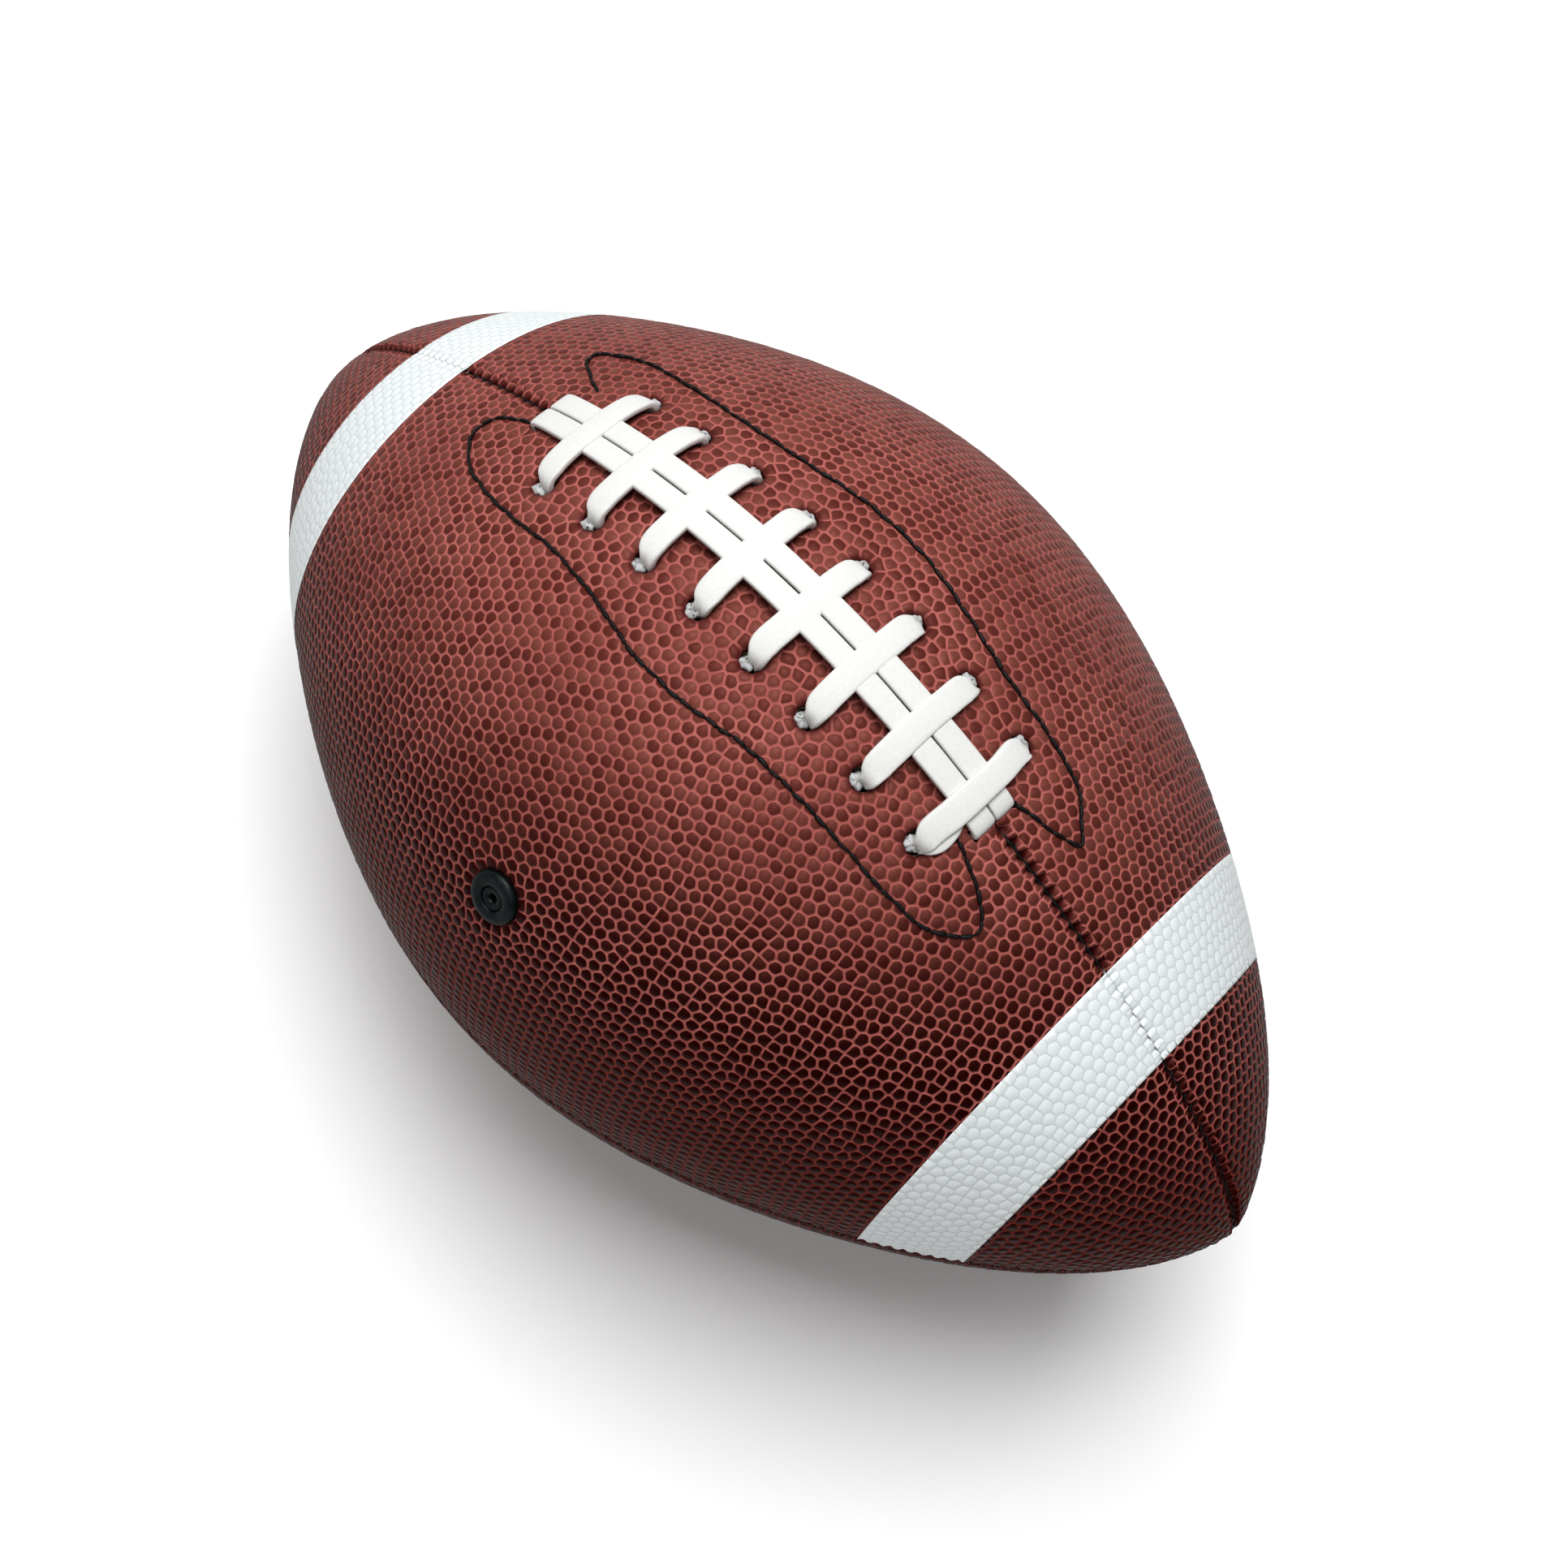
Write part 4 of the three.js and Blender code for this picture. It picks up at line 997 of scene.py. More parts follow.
def through_points(points, share):
    """A centripetal Catmull-Rom curve through points, at positions given as index plus share:
    each span is the repeated blend of its four neighbours by the square root of the chords."""
    points = np.asarray(points, dtype=float)
    ends = np.concatenate((2 * points[:1] - points[1:2], points, 2 * points[-1:] - points[-2:-1]))
    span = np.clip(np.floor(share).astype(int), 0, len(points) - 2)
    p = [ends[span + k] for k in range(4)]
    knot = [np.zeros(len(span))]
    for k in range(3):
        knot.append(knot[-1] + np.maximum(np.linalg.norm(p[k + 1] - p[k], axis=1), 1e-6) ** 0.5)
    t = knot[1] + (share - span) * (knot[2] - knot[1])

    def mix(first, second, low, high):
        """The blend of two points by where t lies from low to high."""
        w = ((t - low) / (high - low))[:, None]
        return first * (1 - w) + second * w

    a = [mix(p[k], p[k + 1], knot[k], knot[k + 1]) for k in range(3)]
    b = [mix(a[k], a[k + 1], knot[k], knot[k + 2]) for k in range(2)]
    return mix(b[0], b[1], knot[1], knot[2])


def even_line(points, step):
    """The curve through points, at even steps of its length."""
    share = np.linspace(0, len(points) - 1, 60 * len(points))
    fine = through_points(points, share)
    length = length_along(fine)
    at = np.linspace(0, length[-1], int(round(length[-1] / step)) + 1)
    return np.stack([np.interp(at, length, column) for column in fine.T], -1), at


def facing_line(ball, side, step):
    """The stitch line of one facing as (s, arc to the right of the lace seam), and the length
    along it."""
    shape = settings()[0]
    outline = np.array(FACING_OUTLINES[side])
    x = (shape.row_centre + outline[:, 0] * shape.bar_pitch) / MM
    arc = side * (shape.hole_arc / MM + outline[:, 1])
    return even_line(np.stack((ball.s_of_x(x), arc), -1), step)


# How the leather dips at an edge: depth and reach in millimetres, and how dark the painted shade in the fold
# is
HOLE_DIP = (0.45, 0.9, 0.8)
THREAD_DIP = (0.22, 0.7, 0.35)
VALVE_DIP = (0.35, 0.8, 0.7)


def make_panel(ball, name, look):
    """The grain and the relief of one panel."""
    start, side = PANELS[name]
    pitch = look.pitch / MM
    sunk, voids = [], []
    if side:
        shape = settings()[0]
        voids = panel_voids(ball, side, pitch)
        hole_arc, hole_radius = side * shape.hole_arc / MM, shape.hole_diameter / MM / 2
        for x in lacing_rows(shape)[0]:
            sunk.append((surface_distance(ball, x, hole_arc, hole_radius), *HOLE_DIP))
        line = facing_line(ball, side, 1.0)[0]
        sunk.append((line_distance(ball, line), *THREAD_DIP))
        if side < 0:
            arc = -(shape.valve_angle - QUARTER) * ball.belly
            sunk.append((surface_distance(ball, 0, arc, shape.valve_radius / MM), *VALVE_DIP))
    grain = Grain(ball, pitch, look.jitter, look.seed + start, voids)
    return Panel(ball, grain, np.radians(start), sunk, look)


# ------------------------------------------------------------------------------------ operators

class FootballOperator:
    """What the operators of the ball share."""

    bl_options = {"REGISTER", "UNDO"}


class FOOTBALL_OT_leather(FootballOperator, bpy.types.Operator):
    """Four pebbled leather panels, and the painted bands on the two laced ones"""

    bl_idname = "football.leather"
    bl_label = "Leather and bands"

    LEATHER_CREASE, NO_CREASE = 75, 0  # smallest sharp edge, in degrees
    BAND_FLANK = 0.26  # width of a painted pebble's flank, in mm
    BAND_FLOOR = 0.7  # how far paint fills the valleys
    BAND_LIFT = 0.06  # height and thickness of the paint, in mm
    BAND_SPARE = 6  # cells kept past a band's edges before the cut, in mm

    def execute(self, context):
        shape, look, _, _ = settings()
        ball = Ball()
        leather, paint = leather_finish(look), paint_finish(look)
        for name, (_, side) in PANELS.items():
            panel = make_panel(ball, name, look)
            points, faces, attributes = panel.shell(shape.cover_thickness / MM)
            new_piece("leather_" + name, points, faces, leather,
                      ("cover_panel_" + name,), attributes, smooth_angle=self.LEATHER_CREASE)
            if side:
                self.bands(panel, "right" if side > 0 else "left", paint)
        return {"FINISHED"}

    def bands(self, panel, side, paint):
        """Painted bands: the panel's own skin with shallower valleys, a little higher, cut at
        the band's two edges and closed by a thin wall."""
        shape = settings()[0]
        panel.build(self.BAND_FLANK)
        points, _ = panel.points(floor=self.BAND_FLOOR, lift=self.BAND_LIFT, open_seam=0.0)
        inner, outer = shape.stripe_inner / MM, shape.stripe_outer / MM
        middle = panel.ball.x_of_v(panel.grain.points[:, 0])
        for end, way in (("front", 1), ("rear", -1)):
            chosen = (way * middle > inner - self.BAND_SPARE) & (way * middle < outer + self.BAND_SPARE)
            piece = new_piece("band_%s_%s" % (end, side), points, panel.skin_faces(chosen), paint,
                              ("stripe_%s_%s" % (end, side),),
                              {"rise": panel.rise}, smooth_angle=self.NO_CREASE)
            work = bmesh.new()
            work.from_mesh(piece.data)
            for edge, outward in ((inner, -way), (outer, way)):
                bmesh.ops.bisect_plane(work, geom=work.verts[:] + work.edges[:] + work.faces[:],
                                       plane_co=(way * edge * MM, 0, 0), plane_no=(outward, 0, 0),
                                       clear_outer=True)
            loose = [v for v in work.verts if not v.link_faces]
            bmesh.ops.delete(work, geom=loose, context="VERTS")
            work.to_mesh(piece.data)
            work.free()
            wall = piece.modifiers.new("wall", "SOLIDIFY")
            wall.thickness = self.BAND_LIFT * MM
            wall.offset = -1


class FOOTBALL_OT_seams(FootballOperator, bpy.types.Operator):
    """Thread in the seams: a core in the groove and slanted stitches over it"""

    bl_idname = "football.seams"
    bl_label = "Seam threads"

    SIDES = 6
    RINGS = 7  # of one stitch
    FROM_SLOT, FROM_TIP = 0.6, 0.02  # where a seam's thread ends, in mm
    CORE_STEP, CORE_DEPTH = 0.7, 1.15  # rings and depth of the core, in mm
    STRAY = 0.35  # of a stitch along the seam, in mm
    HALF_LENGTH, HALF_WIDTH = (0.45, 1.0), (0.55, 0.85)  # of a stitch, in mm
    CROWN = (-0.9, -0.48)  # height of a stitch's middle, in mm
    STITCH_ARCH = 0.9  # from a stitch's middle down to its ends, in mm
    UNDER_PAINT = 0.4  # how much lower a painted stitch is, in mm
    TIP_RADIUS = 1.2  # least radius used to turn a width into an angle, in mm
    PAINT_RAMP = 0.6  # where paint fades in on the thread, in mm

    def execute(self, context):
        shape, look, lacing, _ = settings()
        ball = Ball()
        thread = thread_finish(lacing, look)
        _, front, rear = lacing_rows(shape)
        clear = shape.slot_length / MM / 2 + self.FROM_SLOT
        tip = ball.half - self.FROM_TIP
        seams = (
            ("seam_thread_lace_front", 90, front + clear, tip),
            ("seam_thread_lace_rear", 90, -tip, rear - clear),
            ("seam_thread_left", 180, -tip, tip),
            ("seam_thread_right", 0, -tip, tip),
            ("seam_thread_bottom", 270, -tip, tip),
        )
        for nth, (name, degrees, first, last) in enumerate(seams):
            self.seam(ball, nth, name, np.radians(degrees), first, last, thread)
        return {"FINISHED"}

    def seam(self, ball, nth, name, seam, first, last, thread):
        """The core is an uneven tube deep in the groove. A stitch is an arch of (t, t, 1 - t^4)
        along, across and up for t from -1 to 1."""
        shape, _, lacing, _ = settings()
        pitch = lacing.stitch_pitch / MM
        thick = lacing.seam_thread_radius / MM
        low, high = ball.s_of_x(first), ball.s_of_x(last)
        s = np.linspace(low, high, int(round((high - low) / self.CORE_STEP)) + 1)
        x = ball.x_of_s(s)
        on_top = abs(seam - QUARTER) < 0.01
        painted = self.painted(x, shape) * on_top
        core = tube_on_ball(ball, x, seam, -self.CORE_DEPTH + 0.1 * wobble(s, 50 + nth),
                            thick * (1.3 + 0.3 * wobble(s, 60 + nth)), self.SIDES)
        points = [core.reshape(-1, 3)]
        marks = [np.repeat(painted, self.SIDES)]
        faces = sweep_faces(len(s), self.SIDES)

        rng = np.random.default_rng(700 + nth)
        middle = np.arange(s[0] + 1.2, s[-1] - 1.0, pitch)
        middle = middle + rng.uniform(-self.STRAY, self.STRAY, len(middle))
        t = np.linspace(-1, 1, self.RINGS)
        slant = rng.uniform(*self.HALF_LENGTH, len(middle))
        reach = rng.uniform(*self.HALF_WIDTH, len(middle))
        x = ball.x_of_s(middle[:, None] + slant[:, None] * t)
        angle = seam + reach[:, None] * t / np.maximum(ball.radius(x), self.TIP_RADIUS)
        under = self.painted(x, shape) * on_top
        crown = rng.uniform(*self.CROWN, len(middle))[:, None]
        radius = thick * rng.uniform(0.75, 1.05, len(middle))[:, None] * (1 - 0.25 * t ** 2)
        stitches = tube_on_ball(ball, x, angle, crown - self.STITCH_ARCH * t ** 4 - self.UNDER_PAINT * under,
                                radius, self.SIDES)
        points.append(stitches.reshape(-1, 3))
        marks.append(np.repeat(under.ravel(), self.SIDES))
        shift = len(points[0])
        faces += [block + shift for block in sweep_faces(self.RINGS, self.SIDES, len(middle))]
        new_piece(name.replace("seam_thread", "stitched_seam"), np.concatenate(points), faces,
                  thread, (name,), {"painted": np.concatenate(marks)})

    def painted(self, x, shape):
        """1 under a band and 0 elsewhere, with a short ramp."""
        inner, outer = shape.stripe_inner / MM, shape.stripe_outer / MM
        away = np.maximum(inner - np.abs(x), np.abs(x) - outer)
        return np.clip(0.5 - away / self.PAINT_RAMP, 0, 1)


class FOOTBALL_OT_facing_threads(FootballOperator, bpy.types.Operator):
    """Stitching round the two facings beside the lacing"""

    bl_idname = "football.facing_threads"
    bl_label = "Facing stitching"

    SIDES = 7
    STEP = 0.24  # between rings, in mm
    HEIGHT, DIP, END_DIP = 0.1, 0.3, 1.2  # of the thread's middle, at a stitch's end and the line's
    DIP_POWER = 14

    def execute(self, context):
        """One thread for each side. Its height dips by a narrow power of a cosine at each end
        of a stitch, and the ends of the line go down through the leather."""
        _, look, lacing, _ = settings()
        ball = Ball()
        thread = thread_finish(lacing, look)
        thick = lacing.thread_radius / MM
        for side, word in ((-1, "left"), (1, "right")):
            line, at = facing_line(ball, side, self.STEP)
            stitches = np.round(at[-1] / (lacing.stitch_pitch / MM))
            phase = np.pi * stitches * at / at[-1] + 0.5 * wobble(at, 80 + side, reach=6) * 0.3
            dip = np.abs(np.cos(phase)) ** self.DIP_POWER
            end = np.exp(-(np.minimum(at, at[-1] - at) / 0.8) ** 2)
            height = self.HEIGHT + 0.05 * wobble(at, 90 + side, reach=1.5) - self.DIP * dip \
                - self.END_DIP * end
            x = ball.x_of_s(line[:, 0])
            shift = 0.13 * wobble(at, 95 + side, reach=1.2)
            angle = QUARTER - (line[:, 1] + shift) / ball.radius(x)
            radius = thick * (1.05 - 0.4 * dip + 0.14 * wobble(at, 99 + side, reach=1.1))
            rings = tube_on_ball(ball, x, angle, height, radius, self.SIDES)
            new_piece("stitched_facing_" + word, rings.reshape(-1, 3),
                      sweep_faces(len(at), self.SIDES), thread,
                      ("facing_thread_" + word,), {"painted": np.zeros(len(at) * self.SIDES)})
        return {"FINISHED"}


class FOOTBALL_OT_lace(FootballOperator, bpy.types.Operator):
    """The lace: two long strands, the cross bars, the runs inside and the crumpled folds"""

    bl_idname = "football.lace"
    bl_label = "Lace"

    SIDES = 28
    STEP, END_STEP = 0.55, 0.5  # between rings of the lace and of its second end, in mm
    INNER_DEPTH = 5.4  # of the runs inside, in mm
    INNER_WIDTH = 5  # of the lace inside, in mm
    TAIL = 12.0  # length of an end inside, in mm
    CLEARANCE = 0.12  # between the leather and a strand, in mm
    BAR_CLEARANCE = 0.08  # between a strand and a cross bar, in mm
    LEG_SHIFT, BEND_SHIFT = 0.7, 0.6  # of a cross bar's end towards the front, in mm
    EDGE_POWER, FACE_POWER = 0.3, 0.62  # roundness of the lace's edges and faces
    FOLD_ROWS, FOLD_SIDES = 10, 20
    FOLD_SIZE, FOLD_DEPTH = 1.6, 1.45  # radius and depth of a crumpled fold, in mm
    FOLD_SHIFT, FOLD_OUT = 0.5, 0.95  # of a fold from its hole, to the rear and outwards, in mm

    def execute(self, context):
        shape, _, lacing, _ = settings()
        ball = Ball()
        parts = [self.band(ball, self.stops(shape, lacing), lacing, self.STEP, 0),
                 self.band(ball, self.tail_stops(shape, lacing), lacing, self.END_STEP, 5)]
        parts += self.folds(ball, shape)
        points, faces, shift = [], [], 0
        values = {"along": [], "across": [], "shade": []}
        for part_points, part_faces, part_values in parts:
            points.append(part_points)
            faces += [block + shift for block in part_faces]
            shift += len(part_points)
            for key in values:
                values[key].append(part_values[key])
        new_piece("woven_lace", np.concatenate(points), faces, lace_finish(lacing),
                  ("lace",), {key: np.concatenate(v) for key, v in values.items()}, smooth_angle=50)
        return {"FINISHED"}

    def stops(self, shape, lacing):
        """The lace's route as rows of [x, arc to the right of the seam, depth, turn of its
        width from the x axis, squeeze, width]."""
        bars, front, rear = lacing_rows(shape)
        side = lacing.strand_arc / MM
        strand, bar = lacing.strand_width / MM, lacing.bar_width / MM
        hole = shape.hole_arc / MM
        deep = self.INNER_DEPTH
        on_top = -(self.CLEARANCE + lacing.thickness / MM / 2)
        over = on_top - lacing.thickness / MM - self.BAR_CLEARANCE

        strand_run = [(rear, deep / 2), (rear, 0), (rear + 1.5, on_top), (front - 1.5, on_top),
                      (front, 0), (front, deep / 2), (front + 0.6, deep - 1)]
        tail = [(rear - self.TAIL, deep), (rear - 3, deep), (rear - 0.6, deep - 1)]
        rows = [(x, -side, depth, 90, 0, strand) for x, depth in tail + strand_run]
        rows += [(front + 3 + side * np.sin(around), -side * np.cos(around), deep,
                  90 + np.degrees(around), 0, strand) for around in np.linspace(0, np.pi, 7)]
        rows += [(x, side, depth, 270, 0, strand)
                 for x, depth in strand_run[::-1] + [(rear + 0.6, deep - 1)]]
        rows.append((rear + 2.4, side - 0.3, deep, 262, 0, self.INNER_WIDTH))

        def leg(x, way, lead, run, skew, bar_skew):
            """One leg of a cross bar, from the run inside up to the middle of the bar."""
            inside = [(x + way * far * lead[0], way * hole + way * far * lead[1], deep - rise, turn,
                       squeeze, self.INNER_WIDTH)
                      for far, rise, turn, squeeze in (
                          (4, 0, run, 0), (1.4, 0.2, run, 0.8), (0.4, 1, (run + 180) / 2, 1))]
            return inside + [
                (x, way * (hole - 0.3), deep - 2.6, 180, 1, self.INNER_WIDTH),
                (x + self.LEG_SHIFT, way * (hole - 0.2), 0.6, 180, 0.85, bar),
                (x + skew * 0.5 + self.BEND_SHIFT, way * (hole - 0.95), -0.75, 180, 0.6, bar),
                (x + skew, way * (hole - 3.0), -1.6, 180, 0.1, bar),
                (x + bar_skew / 2, way * (side + strand / 2 + 1.0), over + 0.1, 180, 0, bar)]

        slope = np.arctan2(-2 * hole, shape.bar_pitch / MM)
        lead, run = (np.cos(slope), np.sin(slope)), 270 + np.degrees(slope)
        rng = np.random.default_rng(5)
        for x in bars:
            skew = rng.uniform(-0.25, 0.25, 3)
            rows += leg(x, -1, lead, run, skew[0], skew[1])
            rows.append((x + skew[1], 0, over, 180, 0, bar))
            if x < bars[-1]:
                rows += leg(x, 1, lead, run, skew[2], skew[1])[::-1]
                rows.append((x + shape.bar_pitch / MM / 2, 0, deep, run, 0, self.INNER_WIDTH))
            else:
                rows += leg(x, 1, (0, -1), 180, skew[2], skew[1])[::-1]
                rows.append((x, hole - self.TAIL, deep, 180, 0, self.INNER_WIDTH))
        return np.array(rows)

    def tail_stops(self, shape, lacing):
        """The lace's second end, tucked under the last cross bar's left leg."""
        last = lacing_rows(shape)[0][-1]
        hole = shape.hole_arc / MM
        return np.array([
            (last + 0.6, -lacing.strand_arc / MM - 3.4, -0.75, 180, 0, self.INNER_WIDTH),
            (last + 1.3, -8, -1.0, 184, 0, self.INNER_WIDTH),
            (last + 1.6, -hole + 3.2, -0.75, 188, 0, self.INNER_WIDTH),
            (last + 1.2, -hole + 1.2, -0.25, 188, 0.5, self.INNER_WIDTH),
            (last + 0.6, -hole + 0.3, 0.9, 184, 1, self.INNER_WIDTH),
        ])

    def band(self, ball, stops, lacing, step, seed):
        """A flat section swept along the route. Its outline is powers of |cos| and |sin| with
        the signs of cos and sin, times half the width and half the thickness. Where it is
        squeezed it is narrower and thicker and its faces are pleated."""
        span = np.linalg.norm(np.diff(stops[:, :3], axis=0), axis=1)
        parts = np.maximum(2, np.ceil(span / step)).astype(int)
        index, nth = place_in_groups(parts)
        share = np.append(index + nth / parts[index], len(stops) - 1.0)

        flat = through_points(stops[:, :3], share)
        turn, squeeze, width = (
            np.interp(share, np.arange(len(stops)), stops[:, k]) for k in (3, 4, 5))
        centre = ball.beside_lace(*flat.T)
        along = unit(np.gradient(centre, axis=0))
        lengthwise, sideways = (ball.beside_lace(*(flat + half).T) - ball.beside_lace(*(flat - half).T)
                                for half in np.array(((0.5, 0, 0), (0, 0.5, 0))))
        turn = np.radians(turn)[:, None]
        wide = lengthwise * np.cos(turn) + sideways * np.sin(turn)
        wide = unit(wide - along * (wide * along).sum(1, keepdims=True))
        thick = np.cross(along, wide)

        length = length_along(centre)
        soft = squeeze ** 2 * (3 - 2 * squeeze)
        half_wide = width / 2 * (1 - soft) + lacing.squeezed_width / MM / 2 * soft
        half_wide = half_wide * (1 + 0.012 * wobble(length, 200 + seed, reach=3))
        half_thick = lacing.thickness / MM / 2 * (1 + 0.12 * soft)
        theta = np.arange(self.SIDES) * 2 * np.pi / self.SIDES
        cos, sin = np.cos(theta), np.sin(theta)
        across = np.sign(cos) * np.abs(cos) ** self.EDGE_POWER
        up = np.sign(sin) * np.abs(sin) ** self.FACE_POWER
        drift = wobble(length, 210 + seed, reach=2)[:, None] * 2
        pleat = 0.3 * soft[:, None] * np.sin(across * 5.5 + drift)
        crown = 0.05 * np.cos(across * np.pi / 2)
        lift = up * (half_thick[:, None] + crown) + pleat * np.abs(up)
        points = (centre[:, None] + (half_wide[:, None] * across)[..., None] * wide[:, None]
                  + lift[..., None] * thick[:, None])
        values = {
            "along": np.repeat(length, self.SIDES),
            "across": (half_wide[:, None] * across).ravel(),
            "shade": np.zeros(len(length) * self.SIDES),
        }
        faces = [block[:, ::-1] for block in sweep_faces(len(length), self.SIDES)]
        return points.reshape(-1, 3), faces, values

    def folds(self, ball, shape):
        """The crumpled lace that shows in the outer half of each hole: a flattened ball whose
        radius is 1 plus a sum of sines of its two angles."""
        bars = lacing_rows(shape)[0]
        hole = shape.hole_arc / MM
        rows, sides = self.FOLD_ROWS, self.FOLD_SIDES
        polar = np.linspace(0.04, np.pi - 0.04, rows)[:, None]
        turn = np.arange(sides) * 2 * np.pi / sides
        parts = []
        holes = [(x, side) for x in bars for side in (-1, 1)]
        for nth, (x, side) in enumerate(holes):
            rng = np.random.default_rng(300 + nth)
            a, b, c, d = rng.uniform(0, 2 * np.pi, 4)
            crumple = 1 + 0.13 * np.sin(3 * turn + a + 2 * polar) \
                + 0.10 * np.sin(5 * turn + b - 3 * polar) + 0.07 * np.sin(8 * turn + c + 5 * polar + d)
            long, wide = self.FOLD_SIZE * rng.uniform(0.92, 1.05, 2)
            local_x = long * np.sin(polar) * np.cos(turn) * crumple - self.FOLD_SHIFT
            local_y = wide * np.sin(polar) * np.sin(turn) * crumple
            depth = self.FOLD_DEPTH - 1.1 * np.cos(polar) * crumple
            points = ball.beside_lace(x + local_x, side * (hole + self.FOLD_OUT + local_y), depth)
            faces = sweep_faces(rows, sides)
            if side > 0:
                faces = [block[:, ::-1] for block in faces]
            count = rows * sides
            # A shade of 1 gives these folds the grey lace colour: painted shade
            parts.append((points.reshape(-1, 3), faces, {
                "along": np.zeros(count), "across": np.zeros(count), "shade": np.ones(count)}))
        return parts


class FOOTBALL_OT_valve(FootballOperator, bpy.types.Operator):
    """The rubber valve and its plug"""

    bl_idname = "football.valve"
    bl_label = "Valve"

    SIDES = 96
    FACE_HEIGHT = 0.3  # of the valve's flat face above the ball, in mm
    # Closed outlines of the two pieces: [radius, height from the valve's flat face], in mm
    BODY = ((2.6, -1.9), (2.6, 0.1), (2.66, 0.2), (2.8, 0.26), (3.2, 0.34), (3.8, 0.4), (4.4, 0.38),
            (4.9, 0.26), (5.25, 0.02), (5.44, -0.3), (5.5, -0.8), (5.5, -1.2), (5.5, -4.6),
            (11.0, -4.75), (11.0, -5.9), (5.5, -5.9), (4.2, -14.2), (2.35, -14.2), (2.35, -1.9))
    PLUG = ((0.8, -14.0), (0.8, -1.2), (0.85, -0.5), (1.0, -0.2), (1.25, -0.05), (1.6, 0.05),
            (2.0, 0.06), (2.3, -0.02), (2.45, -0.16), (2.52, -0.5), (2.52, -1.6), (2.2, -1.7),
            (2.2, -14.0))

    def execute(self, context):
        shape, _, lacing, _ = settings()
        ball = Ball()
        rubber = rubber_finish("valve_rubber", tuple(lacing.rubber_colour))
        self.turned(ball, shape, "valve_body", self.BODY, rubber, "valve_housing")
        self.turned(ball, shape, "valve_needle_plug", self.PLUG, rubber, "valve_plug")
        return {"FINISHED"}

    def turned(self, ball, shape, name, profile, material, node):
        """A closed profile of (radius, height) turned round the valve's axis."""
        angle = shape.valve_angle
        out = np.array((0, np.cos(angle), np.sin(angle)))
        side = np.array((1.0, 0, 0))
        third = np.cross(out, side)
        profile = np.array(profile)
        turn = np.arange(self.SIDES) * 2 * np.pi / self.SIDES
        ring = np.cos(turn)[:, None] * side + np.sin(turn)[:, None] * third
        height, radius = ball.belly + self.FACE_HEIGHT + profile[:, 1], profile[:, 0]
        points = height[:, None, None] * out + radius[:, None, None] * ring
        rows = len(profile)
        row = np.arange(rows)[:, None] * self.SIDES
        after_row = (np.arange(rows)[:, None] + 1) % rows * self.SIDES
        column = np.arange(self.SIDES)
        after = (column + 1) % self.SIDES
        faces = np.stack((row + column, after_row + column, after_row + after, row + after), -1)
        faces = faces.reshape(-1, 4)[:, ::-1]
        new_piece(name, points.reshape(-1, 3), [faces], material, (node,),
                  smooth_angle=50)


class FOOTBALL_OT_inner_layers(FootballOperator, bpy.types.Operator):
    """Finishes of the lining, facings, tongue, bladder and valve patch"""

    bl_idname = "football.inner_layers"
    bl_label = "Inner layers"

    def execute(self, context):
        cloth, suede = cloth_finish(), suede_finish()
        bladder = rubber_finish("bladder_rubber", (0.018, 0.016, 0.015), 0.5)
        finishes = {"lining_panel_" + name: cloth for name in PANELS}
        finishes.update({name: suede for name in ("lace_facing_left", "lace_facing_right", "lace_tongue")})
        finishes.update({"bladder": bladder, "valve_patch": bladder})
        for name, material in finishes.items():
            mesh = bpy.data.objects[name].data
            mesh.materials.clear()
            mesh.materials.append(material)
        return {"FINISHED"}


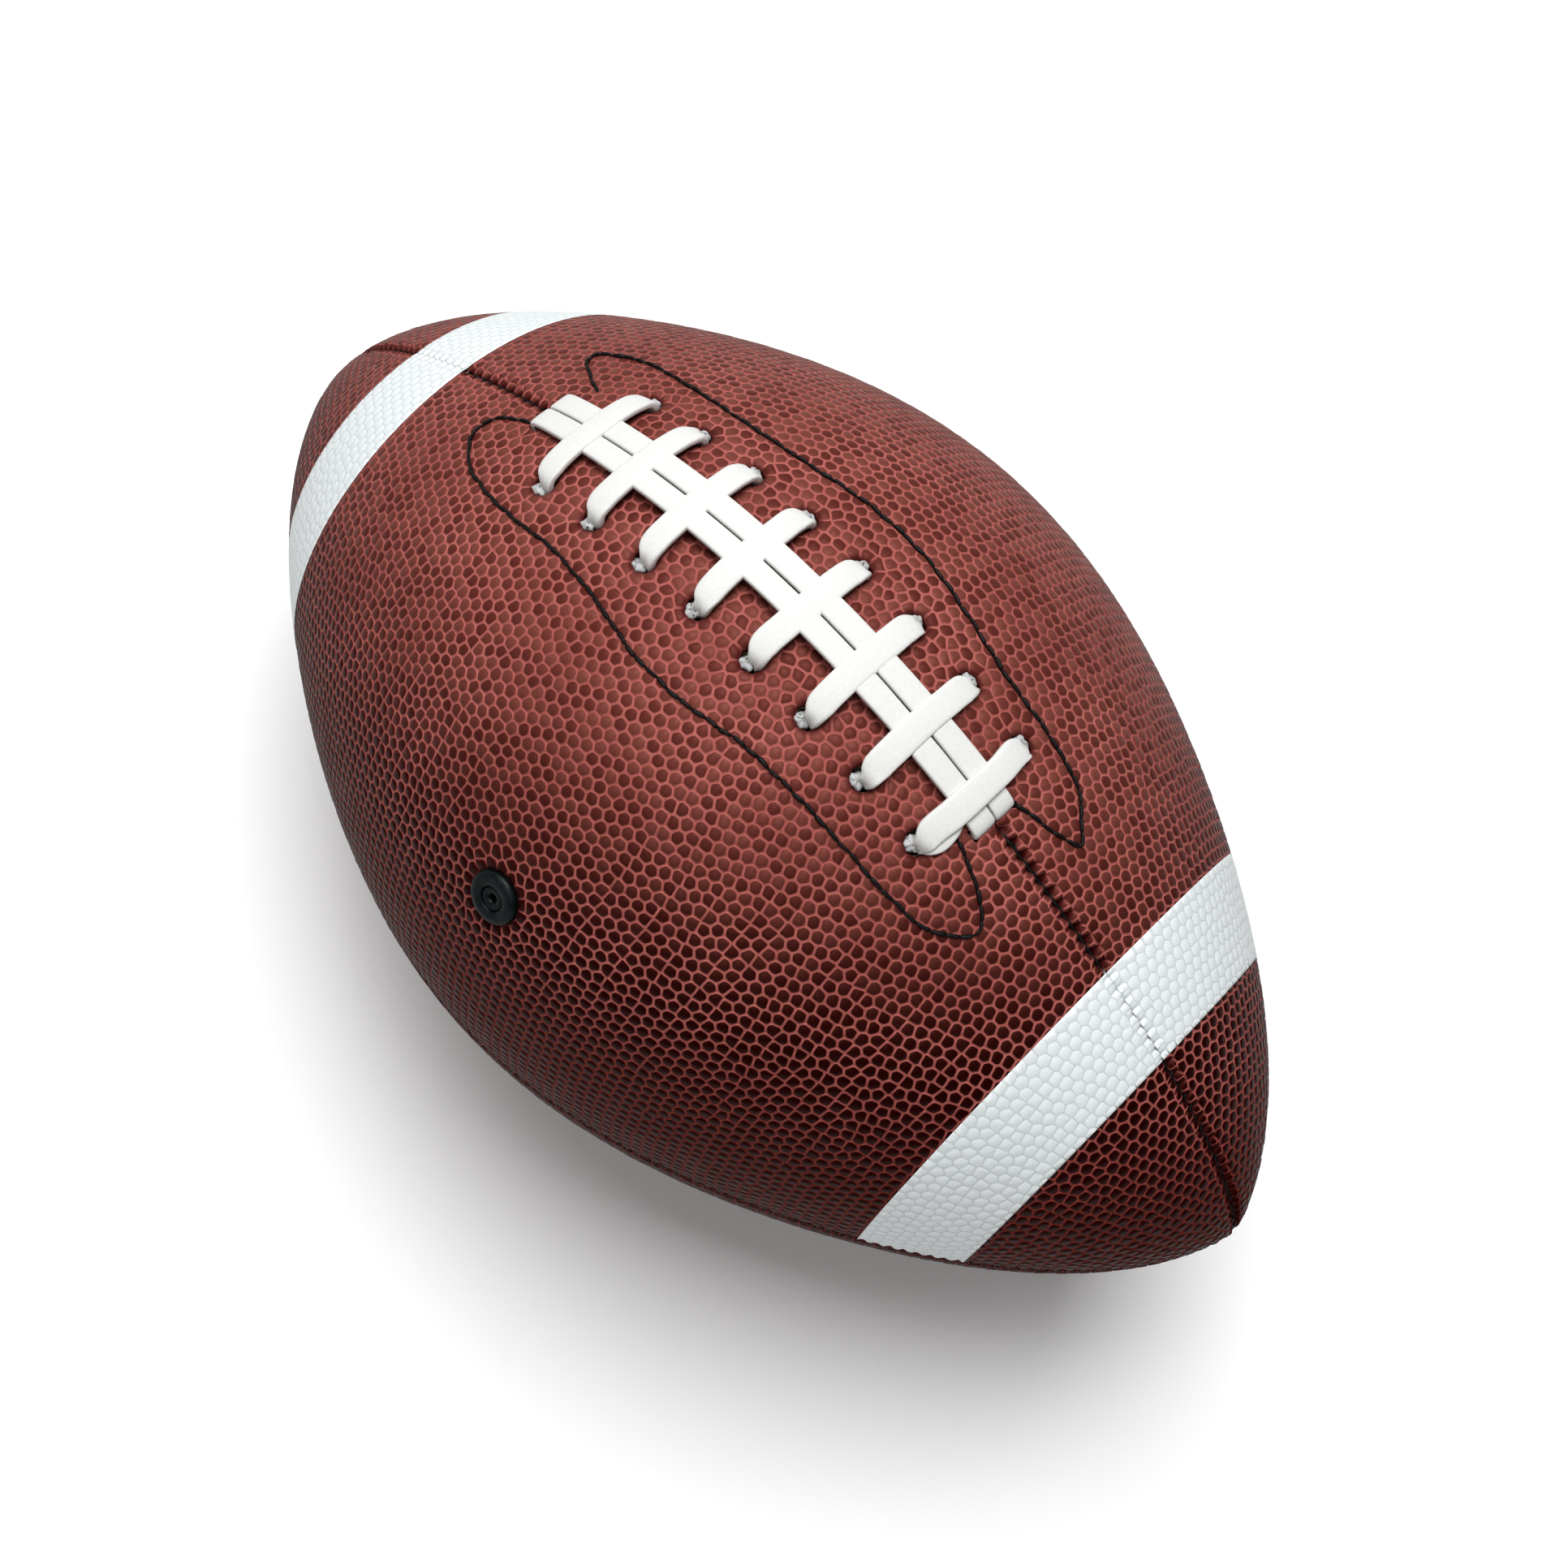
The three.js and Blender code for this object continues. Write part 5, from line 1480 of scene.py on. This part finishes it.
class FOOTBALL_OT_stage(FootballOperator, bpy.types.Operator):
    """Camera, soft lights and a pale floor"""

    bl_idname = "football.stage"
    bl_label = "Stage"

    # Each light: [place in metres, width in metres, watts]
    LIGHTS = {
        "key": ((-0.08, 0.18, 1.08), 0.7, 10.0),
        "fill": ((0.1, -0.75, 0.95), 0.9, 3.2),
        "rim": ((-0.9, 0.4, 0.5), 0.6, 1.0),
    }
    FLOOR_SIZE = 4.0  # centre to edge, in metres

    def execute(self, context):
        stage = settings()[3]
        scene = context.scene
        scene.view_settings.view_transform = "Standard"
        scene.view_settings.look = "High Contrast"
        self.camera(scene, stage)
        self.floor(stage)
        for name, light in self.LIGHTS.items():
            self.light(name, *light)
        world = bpy.data.worlds.new("studio")
        world.use_nodes = True
        background = world.node_tree.nodes["Background"]
        background.inputs["Color"].default_value = (1, 1, 1, 1)
        background.inputs["Strength"].default_value = stage.sky
        scene.world = world
        return {"FINISHED"}

    def camera(self, scene, stage):
        """A camera at its place that looks at its target with its up direction upright."""
        data = bpy.data.cameras.new("camera")
        data.lens = stage.lens
        data.sensor_width = 36
        data.clip_start = 0.01
        camera = bpy.data.objects.new("camera", data)
        scene.collection.objects.link(camera)
        place, target = Vector(stage.camera_place), Vector(stage.camera_target)
        back = (place - target).normalized()
        right = Vector(stage.camera_up).cross(back).normalized()
        turn = Matrix((right, back.cross(right), back)).transposed()
        camera.matrix_world = Matrix.Translation(place) @ turn.to_4x4()
        scene.camera = camera

    def floor(self, stage):
        """A flat square under the ball."""
        size, z = self.FLOOR_SIZE, LOW[2]
        mesh = bpy.data.meshes.new("floor")
        mesh.from_pydata([(-size, -size, z), (size, -size, z), (size, size, z), (-size, size, z)], [],
                         [(0, 1, 2, 3)])
        floor = bpy.data.objects.new("floor", mesh)
        bpy.context.scene.collection.objects.link(floor)
        finish = Finish("pale_floor", roughness=0.8)
        tint = finish.noise(3, 2)
        finish.feed(Base_Color=finish.blend(tint, tuple(0.98 * c for c in stage.floor_colour),
                                            stage.floor_colour))
        mesh.materials.append(finish.material)

    def light(self, name, place, size, power):
        """A square soft light that faces the ball."""
        data = bpy.data.lights.new(name, "AREA")
        data.energy = power
        data.size = size
        light = bpy.data.objects.new(name, data)
        light.location = place
        light.rotation_euler = Vector(place).to_track_quat("Z", "Y").to_euler()
        bpy.context.scene.collection.objects.link(light)


class FOOTBALL_PT_sidebar(bpy.types.Panel):
    """Lists the pieces of the ball and their settings"""

    bl_idname = "FOOTBALL_PT_sidebar"
    bl_label = "Laced football"
    bl_space_type = "VIEW_3D"
    bl_region_type = "UI"
    bl_category = "Football"

    def draw(self, context):
        for operator in OPERATORS:
            self.layout.operator(operator.bl_idname)
        for group in settings():
            box = self.layout.box()
            for key in group.__annotations__:
                box.prop(group, key)


OPERATORS = (FOOTBALL_OT_leather, FOOTBALL_OT_seams, FOOTBALL_OT_facing_threads, FOOTBALL_OT_lace,
             FOOTBALL_OT_valve, FOOTBALL_OT_inner_layers, FOOTBALL_OT_stage)
GROUPS = {"football_shape": FootballShape, "football_leather": FootballLeather,
          "football_lacing": FootballLacing, "football_stage": FootballStage}


def register():
    for group in GROUPS.values():
        bpy.utils.register_class(group)
    for key, group in GROUPS.items():
        setattr(bpy.types.Scene, key, bpy.props.PointerProperty(type=group))
    for operator in OPERATORS:
        bpy.utils.register_class(operator)
    bpy.utils.register_class(FOOTBALL_PT_sidebar)


def unregister():
    bpy.utils.unregister_class(FOOTBALL_PT_sidebar)
    for operator in reversed(OPERATORS):
        bpy.utils.unregister_class(operator)
    for key, group in GROUPS.items():
        delattr(bpy.types.Scene, key)
        bpy.utils.unregister_class(group)


def main():
    """Makes the whole scene."""
    register()
    for operator in OPERATORS:
        group, name = operator.bl_idname.split(".")
        getattr(getattr(bpy.ops, group), name)()


if __name__ == "__main__":
    main()
